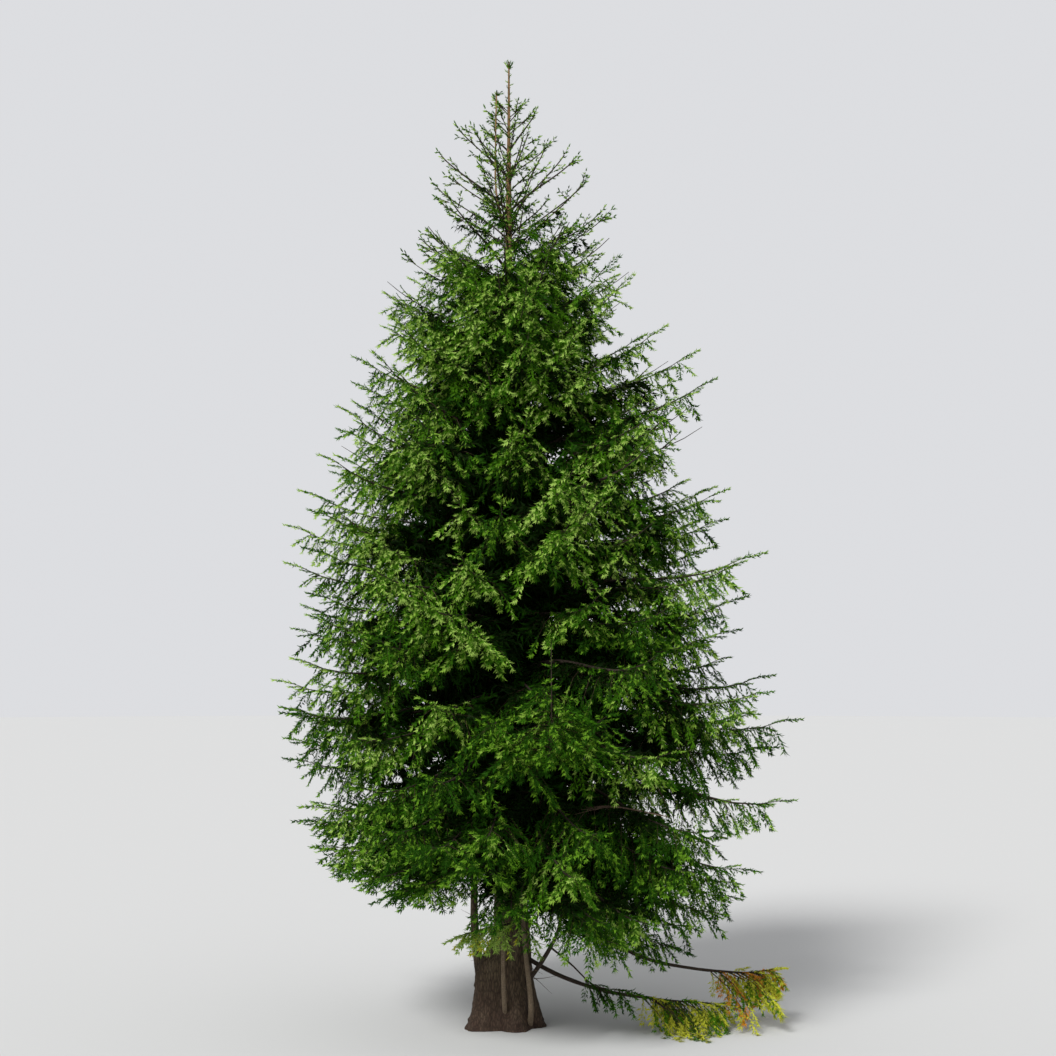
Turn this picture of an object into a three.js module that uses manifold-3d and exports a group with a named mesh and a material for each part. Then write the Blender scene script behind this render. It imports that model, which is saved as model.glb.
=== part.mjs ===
// A spruce tree about 12 m tall, grown in the open: a tapering trunk with a root flare, thin stems and
// low boughs at its foot, and a full cone of foliage. Each limb and each mass of needles is one mesh.
// Millimetres, +Z up. The origin is the middle of the flat cut under the trunk, at ground level.
// +X is the right-hand side of the tree, -Y its front. Azimuths count from +X towards +Y.
import * as THREE from "three";
import { mergeVertices } from "three/addons/utils/BufferGeometryUtils.js";
import Module from "manifold-3d";

const wasm = await Module();
wasm.setup();

// Driving dimensions
const HEIGHT = 12040; // from the ground to the tip of the leader
const GAP = 0.3; // clear space between two pieces that meet
const SLIVER = 0.05; // edges shorter than this are closed up where pieces are joined
const CLEARANCE = 1.2 * GAP; // added to a radius, so that a slanting face keeps the gap too
const SPARE = 12; // space that a twig or blade keeps to everything but its own mass
const TRUNK = { radius: 225, tipRadius: 9, taper: 1.15, lean: 45, sides: 12, steps: 13 };
const FLARE = { depth: 150, height: 420, lobes: 5, lobeShare: 0.3, turn: 0.4 };
const MOUND = { depth: 190, azimuth: 3.5, spread: 0.62, top: 900, fade: 260 }; // the swollen root on the left

// The crown's outline: at each height the reach of the foliage on the left and on the right.
const OUTLINE = [
  { height: 500, left: 700, right: 1500 },
  { height: 900, left: 1100, right: 2150 },
  { height: 1700, left: 2000, right: 2950 },
  { height: 2400, left: 2650, right: 3250 },
  { height: 3700, left: 2900, right: 3500 },
  { height: 4300, left: 3040, right: 3300 },
  { height: 5800, left: 2800, right: 2980 },
  { height: 7100, left: 2520, right: 2520 },
  { height: 8000, left: 2080, right: 2280 },
  { height: 9100, left: 1740, right: 1760 },
  { height: 9900, left: 1180, right: 1230 },
  { height: 10700, left: 980, right: 920 },
  { height: 11500, left: 400, right: 340 },
  { height: HEIGHT, left: 90, right: 90 },
];

// Boughs leave the trunk in tiers. The masses of foliage in a tier share the full turn evenly.
const TIERS = {
  lowest: 2150,
  spacing: 960,
  shrink: 0.978, // each tier stands this much closer to the one below than that one did
  masses: [5, 4, 4, 4, 4, 3, 3, 3, 2, 2, 2],
  twigs: [4, 4, 3, 4, 3, 3, 3, 3, 4, 4, 3], // on the main bough of a mass
  withBoughs: 2, // the lowest tiers, whose main boughs show below the foliage
  start: 0.45, // azimuth of the first mass, in radians
  turn: 2.4, // from one tier to the next
};

// A bough's tip stands above its root by a share of its reach that grows with height on the trunk.
// On the right the lowest boughs drop further. The arch lifts a bough near the trunk and its tip again.
const RISE = { lowest: -0.1, perMetre: 0.118, rightDrop: 0.3, dropUpTo: 1700 };
const REACH_PASSES = 8; // towards the reach at which a bough's tip lies on the crown's outline
const ARCH = { most: 0.34, top: 0.07, straightens: 1.25, turnsAt: 1.6 };
const MAIN_BOUGH = { share: 0.42, widening: 1.5, sides: 6, steps: 4 }; // share of the reach, up to its mass
const STEM = { base: 9, perReach: 0.0105, bare: 0.3, sides: 3, steps: 3 };

// Side boughs part from a mass's stem and have no twigs of their own: only the blade on their tip.
// Swing is a share of the mass's half sector, and lift a share of the tier spacing.
const SIDE_BOUGHS = [
  { from: 0.24, swing: 0.5, lift: 0.2 },
  { from: 0.3, swing: -0.5, lift: -0.16 },
];
const SIDE_BOUGH = { radius: 0.6, twigs: 0, steps: 2, afterRoot: 0.06 };
const TWIG = { angle: 0.86, share: 0.4, taper: 0.7, droop: 0.32, last: 0.92 };
const TWIG_WOOD = { radius: 0.016, thinnest: 7, sides: 3 };
const BLADE = { base: 210, perReach: 0.31, width: 0.95, thickness: 0.045, droop: 0.6, roll: 1.3 };
const BLADE_ROOT = { onTwig: 0.62, onBough: 0.9 }; // share of the length at which the tip's blade begins
const FITS = [1, 0.75, 0.55]; // sizes that a piece is tried at, until it fits its space
const FURTHEST = 1.1; // most distance of a piece from the trunk, as a share of its tier's reach
const VARIATION = 0.15; // by which lengths and angles differ from one twig to the next
const TIP_LEAD = 60; // how far a mass's stem runs straight on from the tip of its limb
const FOOT_LIMB = { sides: 6, steps: 6 };

// A toothed blade seen from above, as shares of its length and of its width, tip first.
const BLADE_OUTLINE = [
  [1, 0],
  [0.68, 0.24],
  [0.42, 0.5],
  [0, 0],
  [0.34, -0.5],
  [0.62, -0.22],
];
const BLADE_MIDDLE = 0.42; // of the length, where the blade is thickest

const BARK = { color: 0x5a4638, roughness: 0.92, metalness: 0 };
const YOUNG_BARK = { color: 0x7c6248, roughness: 0.88, metalness: 0 };
const NEEDLES = { color: 0x3f6a26, roughness: 0.75, metalness: 0 };
const PALE_NEEDLES = { color: 0x8a9a3a, roughness: 0.75, metalness: 0 };

const UP = new THREE.Vector3(0, 0, 1);
const ACROSS = new THREE.Vector3(1, 0, 0);
const STEEP = 0.75; // share of its length that a limb rises, past which its rings are laid from +X
const { clamp, lerp, smoothstep } = THREE.MathUtils;
const tree = new THREE.Group();

// Numbers from 0 to 1 that follow from the seed alone.
function seeded(seed) {
  let state = seed >>> 0;
  return () => {
    state = (state + 0x6d2b79f5) >>> 0;
    let mixed = Math.imul(state ^ (state >>> 15), state | 1);
    mixed ^= mixed + Math.imul(mixed ^ (mixed >>> 7), mixed | 61);
    return ((mixed ^ (mixed >>> 14)) >>> 0) / 4294967296;
  };
}

// A closed geometry as a solid that can be joined and cut.
function solidOf(geometry) {
  const bare = geometry.clone();
  bare.deleteAttribute("normal");
  bare.deleteAttribute("uv");
  const merged = mergeVertices(bare, 1e-3);
  const vertProperties = new Float32Array(merged.attributes.position.array);
  const triVerts = new Uint32Array(merged.index.array);
  return new wasm.Manifold(new wasm.Mesh({ numProp: 3, vertProperties, triVerts }));
}

// The one body that is kept of a solid: its largest, without sealed hollows or loose scraps.
function wholeBody(solid) {
  const bodies = solid.simplify(SLIVER).decompose();
  return bodies.reduce((most, body) => (body.volume() > most.volume() ? body : most));
}

function addMesh(name, solid, finish) {
  const { vertProperties, triVerts } = solid.getMesh();
  const geometry = new THREE.BufferGeometry();
  geometry.setAttribute("position", new THREE.BufferAttribute(vertProperties, 3));
  geometry.setIndex(new THREE.BufferAttribute(triVerts, 1));
  geometry.computeVertexNormals();
  const mesh = new THREE.Mesh(geometry, new THREE.MeshStandardMaterial(finish));
  mesh.name = name;
  tree.add(mesh);
}

// A tapering limb: a cylinder of a few sides whose rings are laid square to the curve.
function limbSolid(curve, rootRadius, tipRadius, sides, steps) {
  const geometry = new THREE.CylinderGeometry(tipRadius, rootRadius, 1, sides, steps);
  const chord = curve.getPoint(1).sub(curve.getPoint(0)).normalize();
  const reference = Math.abs(chord.z) > STEEP ? ACROSS : UP;
  const position = geometry.attributes.position;
  for (let i = 0; i < position.count; i += 1) {
    const along = position.getY(i) + 0.5;
    const tangent = curve.getTangent(along);
    const side = tangent.clone().cross(reference).normalize();
    const upper = side.clone().cross(tangent);
    const place = curve.getPoint(along);
    place.addScaledVector(side, position.getX(i));
    place.addScaledVector(upper, position.getZ(i));
    position.setXYZ(i, place.x, place.y, place.z);
  }
  return solidOf(geometry);
}

// The angle between two azimuths, from 0 to half a turn.
function angleBetween(a, b) {
  return Math.abs(Math.atan2(Math.sin(a - b), Math.cos(a - b)));
}

// The trunk's radius at a height and azimuth: an even taper, a lobed flare and one swollen root.
function trunkRadius(height, azimuth) {
  const taper = (1 - height / HEIGHT) ** TRUNK.taper;
  const lobes = 1 + FLARE.lobeShare * Math.cos(FLARE.lobes * azimuth + FLARE.turn);
  const flare = FLARE.depth * Math.exp(-height / FLARE.height) * lobes;
  const aside = angleBetween(azimuth, MOUND.azimuth);
  const below = 1 - smoothstep(height, MOUND.top - MOUND.fade, MOUND.top + MOUND.fade);
  const mound = MOUND.depth * below * Math.exp(-((aside / MOUND.spread) ** 2));
  return TRUNK.tipRadius + (TRUNK.radius - TRUNK.tipRadius) * taper + flare + mound;
}

// The middle of the trunk at a height: it leans a little and comes back upright.
function trunkAxis(height) {
  const share = height / HEIGHT;
  return new THREE.Vector3(-TRUNK.lean * share * (2 - share), 0, height);
}

// The trunk from the flat ground cut to its tip, with its rings closer together over the root flare.
function trunkSolid(clearance) {
  const geometry = new THREE.CylinderGeometry(1, 1, 1, TRUNK.sides, TRUNK.steps);
  const position = geometry.attributes.position;
  for (let i = 0; i < position.count; i += 1) {
    const height = HEIGHT * (position.getY(i) + 0.5) ** 2;
    const across = Math.hypot(position.getX(i), position.getZ(i));
    const azimuth = Math.atan2(-position.getZ(i), position.getX(i));
    const radius = across * (trunkRadius(height, azimuth) + clearance);
    const middle = trunkAxis(height);
    const x = middle.x + radius * Math.cos(azimuth);
    position.setXYZ(i, x, middle.y + radius * Math.sin(azimuth), height);
  }
  return solidOf(geometry);
}

const trunk = trunkSolid(0);
const trunkClear = trunkSolid(CLEARANCE);

// Reach of the crown at a height: between the left and right outlines by azimuth.
function crownReach(height, azimuth) {
  const last = OUTLINE.length - 1;
  const next = clamp(OUTLINE.findIndex((row) => row.height > height), 1, last);
  const low = OUTLINE[height >= HEIGHT ? last - 1 : next - 1];
  const high = OUTLINE[height >= HEIGHT ? last : next];
  const share = clamp((height - low.height) / (high.height - low.height), 0, 1);
  const rightness = 0.5 + 0.5 * Math.cos(azimuth);
  return lerp(lerp(low.left, high.left, share), lerp(low.right, high.right, share), rightness);
}

// How high a bough's tip stands over its root, as a share of its reach.
function riseOf(root, azimuth) {
  const low = 1 - smoothstep(root, TIERS.lowest, TIERS.lowest + RISE.dropUpTo);
  const drop = RISE.rightDrop * low * Math.max(0, Math.cos(azimuth));
  return RISE.lowest + (RISE.perMetre * (root - TIERS.lowest)) / 1000 - drop;
}

// The reach of a bough with its root at this height, found from the crown's outline at its tip.
function boughReach(root, azimuth) {
  let reach = crownReach(root, azimuth);
  for (let pass = 0; pass < REACH_PASSES; pass += 1) {
    const tip = root + reach * riseOf(root, azimuth);
    reach = (reach + crownReach(tip, azimuth)) / 2;
  }
  return reach;
}

// A bough's line: it leaves the trunk upwards, sinks under its weight and turns up at the tip.
function ridgeHeight(root, azimuth, share, reach) {
  const arch = clamp(ARCH.most * (ARCH.straightens - root / HEIGHT), ARCH.top, ARCH.most);
  const bend = 2 * arch * share * (1 - share) * (1 - ARCH.turnsAt * share);
  return root + reach * (riseOf(root, azimuth) * share + (share < 1 ? bend : 0));
}

function ridgePoint(root, azimuth, share) {
  const reach = boughReach(root, azimuth);
  const middle = trunkAxis(root);
  const x = middle.x + reach * share * Math.cos(azimuth);
  return new THREE.Vector3(x, reach * share * Math.sin(azimuth), ridgeHeight(root, azimuth, share, reach));
}

// The line of a bough whose azimuth and height shift on its way out.
class RidgeCurve extends THREE.Curve {
  constructor({ root, azimuth, from = 0, to = 1, swing = 0, lift = 0 }) {
    super();
    Object.assign(this, { root, azimuth, from, to, swing, lift });
  }
  getPoint(along) {
    const share = lerp(this.from, this.to, along);
    return ridgePoint(this.root + this.lift * along, this.azimuth + this.swing * along, share);
  }
}

// A line through a few places, for a limb that doesn't follow the crown's rule.
function smoothLine(...places) {
  return new THREE.CatmullRomCurve3(places.map(([x, y, z]) => new THREE.Vector3(x, y, z)));
}

// A spray of needles as one toothed blade, thick in the middle, from its root along its direction.
function bladeSolid(root, direction, across, length) {
  const geometry = new THREE.SphereGeometry(1, BLADE_OUTLINE.length, 2);
  const width = length * BLADE.width;
  const position = geometry.attributes.position;
  for (let i = 0; i < position.count; i += 1) {
    const [x, y, z] = [position.getX(i), position.getY(i), position.getZ(i)];
    const turn = Math.round((Math.atan2(z, x) / (2 * Math.PI)) * BLADE_OUTLINE.length);
    const [along, aside] = BLADE_OUTLINE[(turn + BLADE_OUTLINE.length) % BLADE_OUTLINE.length];
    const middle = Math.abs(y) > 0.5;
    const thick = middle ? Math.sign(y) * length * BLADE.thickness * 0.5 : 0;
    position.setXYZ(i, length * (middle ? BLADE_MIDDLE : along), thick, middle ? 0 : width * aside);
  }
  const forward = direction.clone().normalize();
  const face = across.clone().cross(forward).normalize();
  const side = forward.clone().cross(face);
  const frame = new THREE.Matrix4().makeBasis(forward, face, side).setPosition(root);
  geometry.applyMatrix4(frame);
  return solidOf(geometry);
}

// The corners of a solid as vectors.
function cornersOf(solid) {
  const { vertProperties } = solid.getMesh();
  const corners = [];
  for (let i = 0; i < vertProperties.length; i += 3) {
    corners.push(new THREE.Vector3().fromArray(vertProperties, i));
  }
  return corners;
}

// Direction of a twig: forward with the bough and out to one side, and hanging by the droop.
function twigDirection(tangent, hand, angle, droop) {
  const side = tangent.clone().cross(UP).normalize().multiplyScalar(hand);
  const direction = tangent.clone().multiplyScalar(Math.cos(angle));
  direction.addScaledVector(side, Math.sin(angle)).addScaledVector(UP, -droop);
  return direction.normalize();
}

// Grows one mass on its boughs, of which the first is its stem: twigs in turn on both sides of each, and a
// blade on every tip. A piece that would leave the mass's own space is tried shorter, and then skipped.
class MassGrower {
  constructor({ boughs, blade, seed, inSpace }) {
    this.random = seeded(seed);
    this.inSpace = inSpace;
    this.bladeLength = blade;
    this.body = [];
    this.boughs = boughs.filter((bough, i) => this.addBough(bough, i === 0));
  }
  addBough({ curve, radius, sides, steps }, isStem) {
    const line = limbSolid(curve, radius, 0, sides, steps);
    if (isStem) this.body.push(line);
    return isStem || this.accept(() => line) > 0;
  }
  accept(make) {
    for (const scale of FITS) {
      const piece = make(scale);
      if (this.inSpace(piece)) {
        this.body.push(piece);
        return scale;
      }
    }
    return 0;
  }
  vary(value) {
    return value * lerp(1 - VARIATION, 1 + VARIATION, this.random());
  }
  addBlade(root, direction) {
    const length = this.vary(this.bladeLength);
    const roll = lerp(-BLADE.roll, BLADE.roll, this.random());
    const across = direction.clone().cross(UP).applyAxisAngle(direction, roll);
    return this.accept((scale) => bladeSolid(root, direction, across, length * scale));
  }
  addTwig(bough, along, hand) {
    const start = bough.curve.getPoint(along);
    const tangent = bough.curve.getTangent(along);
    const direction = twigDirection(tangent, hand, this.vary(TWIG.angle), TWIG.droop * this.random());
    const full = this.vary(TWIG.share * bough.length * (1 - along) ** TWIG.taper);
    const length = Math.max(full, BLADE_ROOT.onTwig * this.bladeLength);
    const radius = Math.max(TWIG_WOOD.thinnest, TWIG_WOOD.radius * length);
    const endOf = (scale) => start.clone().addScaledVector(direction, length * scale);
    const scale = this.accept((share) =>
      limbSolid(new THREE.LineCurve3(start, endOf(share)), radius, 0, TWIG_WOOD.sides, 1),
    );
    if (!scale) return;
    const hanging = direction.clone().addScaledVector(UP, -BLADE.droop * this.random()).normalize();
    this.addBlade(start.clone().lerp(endOf(scale), BLADE_ROOT.onTwig), hanging);
  }
  grow() {
    for (const bough of this.boughs) {
      this.addBlade(bough.curve.getPoint(BLADE_ROOT.onBough), bough.curve.getTangent(1));
      for (let i = 0; i < bough.twigs; i += 1) {
        const along = lerp(bough.bare, TWIG.last, (i + 0.5) / bough.twigs);
        this.addTwig(bough, along, i % 2 ? 1 : -1);
      }
    }
    return this.body.reduce((joined, piece) => joined.add(piece));
  }
}

// Limbs at the foot that don't follow the crown's rule, from inside the trunk to their tips.
const FOOT_LIMBS = [
  {
    name: "left_stem",
    line: smoothLine([-380, -60, 620], [-440, -90, 1100], [-455, -90, 1700], [-430, -60, 2350]),
    radii: [58, 34],
    finish: BARK,
  },
  {
    name: "front_stem_left",
    line: smoothLine([-70, -230, 150], [-85, -440, 420], [-95, -440, 950], [-60, -390, 1650]),
    radii: [31, 20],
    finish: YOUNG_BARK,
  },
  {
    name: "front_stem_right",
    line: smoothLine([225, -210, 60], [235, -430, 330], [160, -440, 1050], [110, -390, 1900]),
    radii: [36, 22],
    finish: YOUNG_BARK,
  },
  {
    name: "right_limb",
    line: smoothLine([150, -160, 480], [400, -300, 860], [560, -340, 1180], [690, -330, 2050]),
    radii: [30, 15],
    finish: BARK,
  },
  {
    name: "low_bough_lower",
    line: smoothLine([150, -10, 820], [560, -60, 610], [1150, -150, 430], [1760, -200, 350]),
    radii: [29, 17],
    finish: BARK,
  },
  {
    name: "low_bough_upper",
    line: smoothLine([140, 40, 1560], [900, 80, 1170], [1600, 100, 790], [2260, 100, 650], [2760, 90, 610]),
    radii: [30, 13],
    finish: BARK,
  },
  {
    name: "front_bough",
    line: smoothLine([20, -60, 3050], [160, -900, 3330], [330, -1750, 3330], [430, -2300, 3340]),
    radii: [34, 17],
    finish: BARK,
  },
];

function footLimbSolid({ line, radii }, clearance) {
  const [root, tip] = radii;
  return limbSolid(line, root + clearance, tip + clearance, FOOT_LIMB.sides, FOOT_LIMB.steps);
}

const footLimbs = new Map();
for (const limb of FOOT_LIMBS) {
  const solid = wholeBody(footLimbSolid(limb, 0).subtract(trunkClear));
  footLimbs.set(limb.name, { ...limb, solid });
}

addMesh("trunk", trunk, BARK);
for (const [name, { solid, finish }] of footLimbs) addMesh(name, solid, finish);

// What a mass may not touch: the trunk, the limbs and the masses with a place of their own.
let taken = [...footLimbs.values()].reduce((sum, limb) => sum.add(limb.solid), trunk);

// A solid grown from its own middle by the spare space all round, to see what it comes near.
function swollen(piece) {
  const { min, max } = piece.boundingBox();
  const middle = min.map((low, i) => (low + max[i]) / 2);
  const scale = min.map((low, i) => 1 + (2 * SPARE) / Math.max(max[i] - low, SPARE));
  return piece.translate(middle.map((m) => -m)).scale(scale).translate(middle);
}

function clearOf(solid, piece) {
  return solid.intersect(swollen(piece)).isEmpty();
}

// A mass that stands on a limb or low on the trunk, in a place of its own.
function growOwnPlace({ name, line, radius, blade, twigs, bare, seed, finish = NEEDLES, cut = [] }) {
  const { sides, steps } = STEM;
  const bough = { curve: line, length: line.getLength(), radius, sides, steps, twigs, bare };
  const inSpace = (piece) => piece.boundingBox().min[2] > SPARE && clearOf(taken, piece);
  const grown = new MassGrower({ boughs: [bough], blade, seed, inSpace }).grow();
  const body = wholeBody(cut.reduce((solid, limb) => solid.subtract(limb), grown));
  addMesh(name, body, finish);
  taken = taken.add(body);
}

// A line that goes on straight from a limb's tip, clear of it by the gap, and then through more places.
function lineFromTip(name, ...places) {
  const { line } = footLimbs.get(name);
  const beyond = (distance) => line.getPoint(1).addScaledVector(line.getTangent(1), distance).toArray();
  return smoothLine(beyond(GAP), beyond(TIP_LEAD), ...places);
}

const rightLimbClear = footLimbSolid(footLimbs.get("right_limb"), CLEARANCE);
const OWN_PLACES = [
  {
    name: "low_spray_upper",
    line: lineFromTip("low_bough_upper", [2990, 85, 620], [3220, 70, 660]),
    radius: 13,
    blade: 320,
    twigs: 5,
    bare: 0.05,
    seed: 11,
    finish: PALE_NEEDLES,
  },
  {
    name: "low_spray_lower",
    line: lineFromTip("low_bough_lower", [2150, -220, 320], [2600, -240, 300]),
    radius: 17,
    blade: 430,
    twigs: 6,
    bare: 0.05,
    seed: 12,
    finish: PALE_NEEDLES,
  },
  {
    name: "right_fork_spray",
    line: smoothLine([462, -318, 985], [720, -420, 790], [990, -470, 560], [1560, -500, 500]),
    radius: 13,
    blade: 260,
    twigs: 4,
    bare: 0.5,
    seed: 13,
    cut: [rightLimbClear],
  },
  {
    name: "foot_spray",
    line: smoothLine([30, -120, 1340], [25, -540, 1270], [-380, -640, 1190], [-820, -690, 1060]),
    radius: 12,
    blade: 430,
    twigs: 6,
    bare: 0.3,
    seed: 24,
    cut: [trunkClear],
    finish: PALE_NEEDLES,
  },
  {
    name: "front_leader",
    line: lineFromTip("front_bough", [450, -2560, 3560], [452, -2600, 3950], [450, -2600, 4470]),
    radius: 17,
    blade: 500,
    twigs: 9,
    bare: 0.12,
    seed: 15,
  },
  {
    name: "side_leader",
    line: smoothLine([-50, -20, 9750], [-195, -100, 10250], [-210, -120, 10900], [-200, -110, 11500]),
    radius: 13,
    blade: 210,
    twigs: 6,
    bare: 0.3,
    seed: 16,
    cut: [trunkClear],
  },
];
for (const place of OWN_PLACES) growOwnPlace(place);

const tierCount = TIERS.masses.length;

// The height on the trunk at which a tier's boughs have their roots, also for one below or above all.
function tierRoot(tier) {
  const steps = (1 - TIERS.shrink ** tier) / (1 - TIERS.shrink);
  return TIERS.lowest + TIERS.spacing * steps;
}

// Height of the boughs of one tier at a place, given by azimuth and distance from the trunk.
function tierHeight(tier, azimuth, distance) {
  const root = tierRoot(tier);
  const reach = boughReach(root, azimuth);
  return ridgeHeight(root, azimuth, distance / reach, reach);
}

// The border between a tier and the one below it lies halfway between their boughs.
function borderHeight(tier, azimuth, distance) {
  if (tier === tierCount) return HEIGHT;
  return (tierHeight(tier - 1, azimuth, distance) + tierHeight(tier, azimuth, distance)) / 2;
}

// The space of one mass: a sector of its tier, inside the borders and the crown's outline.
function tierSpace(tier, middle) {
  const halfSector = Math.PI / TIERS.masses[tier];
  const inside = ({ x, y, z }) => {
    const distance = Math.hypot(x, y);
    const azimuth = Math.atan2(y, x);
    if (distance > FURTHEST * boughReach(tierRoot(tier), azimuth)) return false;
    const toSide = distance * Math.sin(halfSector - angleBetween(azimuth, middle));
    if (toSide < SPARE || z < SPARE) return false;
    const floor = borderHeight(tier, azimuth, distance) + SPARE;
    return z > floor && z < borderHeight(tier + 1, azimuth, distance) - SPARE;
  };
  return (piece) => cornersOf(piece).every(inside) && clearOf(taken, piece);
}

// A stem's radius where its mass begins, thicker on a longer bough.
function stemRadius(reach, from) {
  return STEM.base + STEM.perReach * reach * (1 - from);
}

// Boughs of one mass: its stem on the tier's ridge, and side boughs that part from it. They end where the
// blades on their tips reach the crown's outline.
function massBoughs(tier, azimuth, from, blade) {
  const root = tierRoot(tier);
  const reach = boughReach(root, azimuth);
  const to = (reach - blade) / (BLADE_ROOT.onBough * reach);
  const halfSector = Math.PI / TIERS.masses[tier];
  const radius = stemRadius(reach, from);
  const stem = {
    ...STEM,
    curve: new RidgeCurve({ root, azimuth, from, to }),
    length: reach,
    radius,
    twigs: TIERS.twigs[tier],
  };
  const sides = SIDE_BOUGHS.map((side) => ({
    ...STEM,
    ...SIDE_BOUGH,
    curve: new RidgeCurve({
      root,
      azimuth,
      from: Math.max(side.from, from + SIDE_BOUGH.afterRoot),
      to,
      swing: side.swing * halfSector,
      lift: side.lift * TIERS.spacing,
    }),
    radius: SIDE_BOUGH.radius * radius,
  }));
  return [stem, ...sides];
}

// A main bough from the trunk to where its mass begins.
function addMainBough(label, root, azimuth, tipRadius) {
  const line = new RidgeCurve({ root, azimuth, to: MAIN_BOUGH.share });
  const { widening, sides, steps } = MAIN_BOUGH;
  const bough = limbSolid(line, widening * tipRadius, tipRadius, sides, steps);
  const body = wholeBody(bough.subtract(trunkClear));
  addMesh(`main_bough_${label}`, body, BARK);
  taken = taken.add(body);
}

for (let tier = 0; tier < tierCount; tier += 1) {
  const root = tierRoot(tier);
  for (let n = 0; n < TIERS.masses[tier]; n += 1) {
    const azimuth = TIERS.start + tier * TIERS.turn + (n * 2 * Math.PI) / TIERS.masses[tier];
    const reach = boughReach(root, azimuth);
    const label = `${String(tier + 1).padStart(2, "0")}_${n + 1}`;
    const hasBough = tier < TIERS.withBoughs;
    if (hasBough) addMainBough(label, root, azimuth, stemRadius(reach, MAIN_BOUGH.share));
    const from = hasBough ? MAIN_BOUGH.share + GAP / reach : 0;
    const blade = BLADE.base + BLADE.perReach * reach;
    const boughs = massBoughs(tier, azimuth, from, blade);
    const inSpace = tierSpace(tier, azimuth);
    const grown = new MassGrower({ boughs, blade, seed: 100 * tier + n, inSpace }).grow();
    addMesh(`foliage_${label}`, wholeBody(grown.subtract(trunkClear)), NEEDLES);
  }
}

tree.updateMatrixWorld(true);
export default tree;
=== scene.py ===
"""A spruce tree: bark in relief, boughs and twigs grown by one rule, and needles on each shoot."""

import functools
from collections import namedtuple
from math import cos, pi, radians, sin
from types import SimpleNamespace as Values

import bpy
import numpy as np
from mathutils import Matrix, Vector, noise


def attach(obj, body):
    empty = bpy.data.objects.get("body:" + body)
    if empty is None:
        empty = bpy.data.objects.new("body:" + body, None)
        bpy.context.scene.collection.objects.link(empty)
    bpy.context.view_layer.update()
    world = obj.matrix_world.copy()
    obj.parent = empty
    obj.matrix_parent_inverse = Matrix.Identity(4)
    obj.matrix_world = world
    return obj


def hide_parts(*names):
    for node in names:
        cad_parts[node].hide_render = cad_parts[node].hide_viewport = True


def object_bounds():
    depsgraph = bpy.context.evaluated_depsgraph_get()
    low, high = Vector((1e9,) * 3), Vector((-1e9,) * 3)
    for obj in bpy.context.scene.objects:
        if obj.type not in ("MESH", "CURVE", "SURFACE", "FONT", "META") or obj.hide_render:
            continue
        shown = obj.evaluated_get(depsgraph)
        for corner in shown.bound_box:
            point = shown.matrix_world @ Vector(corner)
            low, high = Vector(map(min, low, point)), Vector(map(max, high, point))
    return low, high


bl_info = {
    "name": "Spruce tree",
    "version": (1, 0, 0),
    "blender": (4, 5, 0),
    "location": "3D View > Sidebar > Spruce",
    "description": "Grows the bark, boughs, twigs and needles of an open-grown spruce",
    "category": "Object",
}

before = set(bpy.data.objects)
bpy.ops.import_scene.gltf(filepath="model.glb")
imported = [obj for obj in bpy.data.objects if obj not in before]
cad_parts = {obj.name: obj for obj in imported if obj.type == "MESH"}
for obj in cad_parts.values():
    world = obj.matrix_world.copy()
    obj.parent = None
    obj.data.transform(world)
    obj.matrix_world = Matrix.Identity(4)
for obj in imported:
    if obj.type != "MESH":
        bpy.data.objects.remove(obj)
NODES = sorted(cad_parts)
CAD_BOX = [list(corner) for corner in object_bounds()]

# The growth rule. Metres, +Z up, azimuths from +X towards +Y.
HEIGHT = 12.04
TRUNK = Values(radius=0.225, tip_radius=0.009, taper=1.15, lean=0.045)
FLARE = Values(depth=0.15, height=0.42, lobes=5, lobe_share=0.3, turn=0.4)
MOUND = Values(depth=0.19, azimuth=3.5, spread=0.62, top=0.9, fade=0.26)
RISE = Values(lowest=-0.1, per_metre=0.118, right_drop=0.3, drop_up_to=1.7)
REACH_PASSES = 8
ARCH = Values(most=0.34, top=0.07, straightens=1.25, turns_at=1.6)

# Reach of the foliage at each height: height, left, right.
OUTLINE = np.array(
    [(0.5, 0.7, 1.5), (0.9, 1.1, 2.15), (1.7, 2.0, 2.95), (2.4, 2.65, 3.25), (3.7, 2.9, 3.5)]
    + [(4.3, 3.04, 3.3), (5.8, 2.8, 2.98), (7.1, 2.52, 2.52), (8.0, 2.08, 2.28), (9.1, 1.74, 1.76)]
    + [(9.9, 1.18, 1.23), (10.7, 0.98, 0.92), (11.5, 0.4, 0.34), (HEIGHT, 0.09, 0.09)]
)

# Tiers of boughs: masses in each, and the boughs that each mass is carried to here.
TIERS = Values(
    lowest=2.15,
    spacing=0.96,
    shrink=0.978,
    masses=[5, 4, 4, 4, 4, 3, 3, 3, 2, 2, 2],
    boughs=[8, 8, 8, 8, 8, 8, 8, 8, 9, 9, 8],
    start=0.45,
    turn=2.4,
)

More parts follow.
